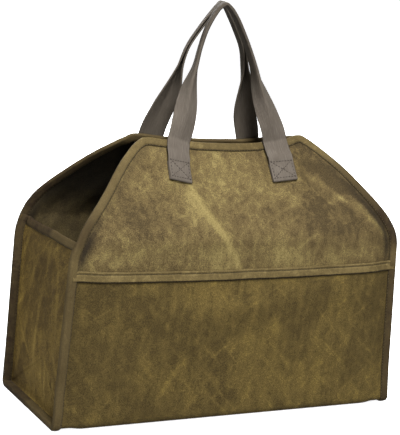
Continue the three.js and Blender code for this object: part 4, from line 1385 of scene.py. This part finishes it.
def folded_across(fold):
    """Places across the strap, as distances out and along the face, when it is folded by a share."""
    fine = np.linspace(0, strap_width / 2, 120)
    angle = fold * math.pi / 2 * np.tanh(fine / CREASE_RADIUS)
    step = fine[1]
    inward = np.concatenate([[0], np.cumsum((np.sin(angle[1:]) + np.sin(angle[:-1])) / 2 * step)])
    aside = np.concatenate([[0], np.cumsum((np.cos(angle[1:]) + np.cos(angle[:-1])) / 2 * step)])
    sine, cosine = math.sin(fold * math.pi / 2), math.cos(fold * math.pi / 2)
    half = strap_thickness / 2
    crease = (strap_width / 2 - half / 2) / 2 * sine + half * (cosine + 2 * sine - 1)
    place = np.abs(ACROSS) * strap_width / 2
    return crease - np.interp(place, fine, inward), np.sign(ACROSS) * np.interp(place, fine, aside)


folded_depth = float(np.ptp(folded_across(1.0)[0]))
print("folded in half, a strap is", round(folded_depth / MM, 1), "mm from crease to edge")

# %% Sweep the straps
# the dirt at the grips, and the rise from the flaps to the grip
HELD, GRIP_RISE = 0.5, handle_height - cloth_top


def hem_rows(rows, stations, end):
    """The strap's end turned under and up again behind the foot, from its raw end to the fold."""
    out, run = stations["out"][end], stations["run"][end] * (1 if end == 0 else -1)
    bend = HEM_LIFT / 2
    behind = [rows[end] - out * HEM_LIFT + run * up for up in np.linspace(HEM_LENGTH, 0, 8)]
    turns = np.linspace(2.6, 0.5, 5)
    turn = [rows[end] - out * bend * (1 - math.cos(a)) - run * bend * math.sin(a) for a in turns]
    return behind + turn


def make_strap(name, stations, node, soiled):
    rows = []
    for at, out, face, fold in zip(stations["at"], stations["out"], stations["face"], stations["fold"]):
        out_by, aside = folded_across(fold)
        rows.append(at + out * out_by[:, None] + face * aside[:, None])
    grid = np.stack(hem_rows(rows, stations, 0) + rows + hem_rows(rows, stations, -1)[::-1])
    middle = len(ACROSS) // 2
    length = run_lengths(grid, 0)[:, middle:middle + 1]
    uv = np.stack(np.broadcast_arrays(ACROSS * strap_width / 2, length), 2)
    held = smooth(grid[..., 2], cloth_top + 0.3 * GRIP_RISE, cloth_top + 0.75 * GRIP_RISE)
    darkened = mixed(soiled, HELD, held)
    mesh = grid_mesh(name, grid, stations["out"][len(grid) // 2], uv, {"soiled": darkened})
    return thicken(new_piece(name, mesh, webbing, "webbing", node), strap_thickness)


front_handle = make_strap("front_strap", front_strap, "front_handle", 0)
# the back strap is darkened all along by painted shade
back_handle = make_strap("back_strap", back_strap, "back_handle", 0.5)
print("straps:", len(front_handle.data.polygons) + len(back_handle.data.polygons), "faces")

# %% [markdown]
# ## Stitches
# Every tape and strap is held by a row of lockstitches, each a short length of waxed thread that dips into
# the cloth at both ends. There are over a thousand, so one small capsule is drawn once and set on points
# along the sewing lines by a Geometry Nodes tree, which turns it to the line and to the way the cloth
# looks.

# %% The thread finish and the stitch tree
YARN, STRAP_YARN = 0.9 * MM, 1.1 * MM


def thread_finish(name, deep, pale):
    finish, wire = new_finish(name)
    tone = wire.noise(wire.place(), 300.0, 2.0)
    colour = tone.between(0.35, 0.65).mix(deep, pale)
    close_finish(wire, colour, 0.75 - tone * 0.1, tone, 0.4, 0.2 * MM, 0.3)
    return finish


def build_stitch_tree():
    inputs = [("Spacing", "NodeSocketFloat", 4.2 * MM), ("Stitch length", "NodeSocketFloat", 3.1 * MM),
              ("Thread width", "NodeSocketFloat", YARN), ("Seed", "NodeSocketInt", 7),
              ("Finish", "NodeSocketMaterial", None)]
    tree, given = new_tree("stitches_along_a_line", inputs)
    wire = given["Geometry"]
    line = wire.node("GeometryNodeMeshToCurve", {}, {"Mesh": wire})
    sockets = {"Curve": line, "Length": given["Spacing"]}
    even = wire.node("GeometryNodeResampleCurve", {"mode": "LENGTH"}, sockets)
    look = wire.node("GeometryNodeInputNamedAttribute", {"data_type": "FLOAT_VECTOR"}, {"Name": "face"})
    tangent = wire.node("GeometryNodeInputTangent")
    turn = wire.node("FunctionNodeAxesToRotation", {"primary_axis": "Z", "secondary_axis": "X"},
                     {"Primary Axis": look, "Secondary Axis": tangent})
    bead = wire.node("GeometryNodeMeshUVSphere", {}, {"Segments": 6, "Rings": 4, "Radius": 0.5})
    sockets = {"Seed": given["Seed"], 2: 0.88, 3: 1.08}
    long = wire.node("FunctionNodeRandomValue", {"data_type": "FLOAT"}, sockets, 1)
    thick = given["Thread width"]
    size = wire.node("ShaderNodeCombineXYZ", {}, {"X": long * given["Stitch length"], "Y": thick, "Z": thick})
    sockets = {"Points": even, "Instance": bead, "Rotation": turn, "Scale": size}
    close_tree(wire, wire.node("GeometryNodeInstanceOnPoints", {}, sockets), given["Finish"])
    return tree


thread = thread_finish("waxed_thread", paint("3d3421"), paint("5b5036"))
strap_thread = thread_finish("strap_thread", paint("2e2822"), paint("453d35"))
stitch_tree = build_stitch_tree()
print("stitch tree has", len(stitch_tree.nodes), "nodes")

# %% Where the needle goes
def line_beside(stations, inward, lift):
    """A sewing line that lies inward from an edge and lifted off its face."""
    at = stations["at"] - stations["out"] * inward + stations["face"] * lift
    return {"at": at, "face": stations["face"]}


def back_of(stations):
    return {**stations, "face": -stations["face"]}


def tape_lines(stations, layers):
    """The sewing line on both sides of a folded tape whose middle is the stations' own line."""
    inward, lift = tape_lap - 1.1 * MM, tape_inside(layers) + 0.75 * MM
    return [line_beside(faced, inward, lift) for faced in (stations, back_of(stations))]


def band_lines(stations):
    half = band_height / 2
    return [line_beside(stations, half * 1.02, 0.7 * MM), line_beside(stations, -half * 0.44, 0.3 * MM)]


def stitched(name, lines, finish=thread, thickness=YARN):
    """One piece of thread from several sewing lines."""
    points, edges = [], []
    for line in lines:
        start = len(points)
        points += line["at"].tolist()
        edges += [(i, i + 1) for i in range(start, len(points) - 1)]
    mesh = bpy.data.meshes.new(name)
    mesh.from_pydata(points, edges, [])
    store(mesh, "face", np.concatenate([line["face"] for line in lines]), "FLOAT_VECTOR")
    made = run_tree(name, mesh, stitch_tree, {"Finish": finish, "Thread width": thickness})
    return new_piece(name, made, finish, "thread")


seam_lines = []
for stations in (left_stations, right_stations):
    seam_lines += tape_lines(cut_ends(shifted(stations, -layer / 2), tape_lap, tape_lap), 2)
rim_lines = [line for rim in (front_rim, back_rim) for line in tape_lines(rim, 1)]
edge_lines = [line for edge in end_edges.values()
              for line in tape_lines(cut_ends(edge, cloth, cloth), 1)]
band_rows = [line for band in bands.values() for line in band_lines(band)]
stitches = [stitched("seam_stitches", seam_lines), stitched("rim_stitches", rim_lines),
            stitched("end_edge_stitches", edge_lines), stitched("band_stitches", band_rows)]
print("stitches:", {o.name: len(o.data.polygons) for o in stitches})

# %% Box and cross on the straps' feet
BOX_MARGIN, BOX_TOP, BOX_STEPS = 3 * MM, 27 * MM, 9


def pad_lines(stations, from_end):
    """The stitched box and its cross on one foot of a strap."""
    length = run_lengths(stations["at"][:, None], 0)[:, 0]
    length = length if from_end == 0 else length[-1] - length
    order = np.argsort(length)

    def spot(up, aside):
        def at(key):
            return np.array([np.interp(up, length[order], stations[key][order, axis]) for axis in range(3)])
        out, face = unit(at("out")), unit(at("face"))
        return at("at") + face * aside + out * (strap_thickness / 2 + 0.2 * MM), out

    def path(a, b):
        spots = [spot(mixed(a[0], b[0], t), mixed(a[1], b[1], t)) for t in np.linspace(0, 1, BOX_STEPS)]
        return {"at": np.array([s[0] for s in spots]), "face": np.array([s[1] for s in spots])}

    side = strap_width / 2 - BOX_MARGIN
    box = [(BOX_MARGIN, -side), (BOX_MARGIN, side), (BOX_TOP, side), (BOX_TOP, -side)]
    lines = [path(box[i], box[(i + 1) % 4]) for i in range(4)]
    return lines + [path(box[0], box[2]), path(box[1], box[3])]


pad_rows = [line for strap in (front_strap, back_strap) for end in (0, 1) for line in pad_lines(strap, end)]
stitches.append(stitched("strap_stitches", pad_rows, strap_thread, STRAP_YARN))
print("strap stitches:", len(stitches[-1].data.polygons), "faces")

# %% [markdown]
# ## Sizes of the cloth
# The panels are sheets, cut flat and then sewn. The cut is measured on the panel before it is crumpled,
# and so is its area.

def plain_area(grid):
    """The area of a panel before it is crumpled."""
    across_cells = np.cross(grid[1:, 1:] - grid[:-1, :-1], grid[1:, :-1] - grid[:-1, 1:])
    return float(np.linalg.norm(across_cells, axis=2).sum() / 2)


def wall_cut(grid):
    """A wall's cut: its widest row by the run of cloth down its middle column."""
    wide, high = run_lengths(grid, 1)[:, -1].max(), run_lengths(grid, 0)[-1, grid.shape[1] // 2]
    return float(wide), float(high)


def end_cut(grid):
    """An end's cut: the base's depth and two flanges, by its middle line from the top edge to the foot."""
    middle = grid.shape[1] // 2
    down, to_foot = run_lengths(grid, 0)[-1, middle], run_lengths(grid, 1)[-1, middle]
    return base_depth + 2 * flange_length, float(down + to_foot)


def declare(piece, grid, cut):
    area = min(plain_area(grid), cut[0] * cut[1])
    print(piece.name, "cut to", round(cut[0], 3), "x", round(cut[1], 3), "m, area", round(area, 4), "m2")


declare(sling, sling_grid, wall_cut(sling_grid))
declare(front_flap, front_flap_grid, wall_cut(front_flap_grid))
declare(back_flap, back_flap_grid, wall_cut(back_flap_grid))
declare(left_end, left_end_grid, end_cut(left_end_grid))
declare(right_end, right_end_grid, end_cut(right_end_grid))

# %% Remove the sections
for section in (one_layer, two_layers, flat_band):
    bpy.data.objects.remove(section)
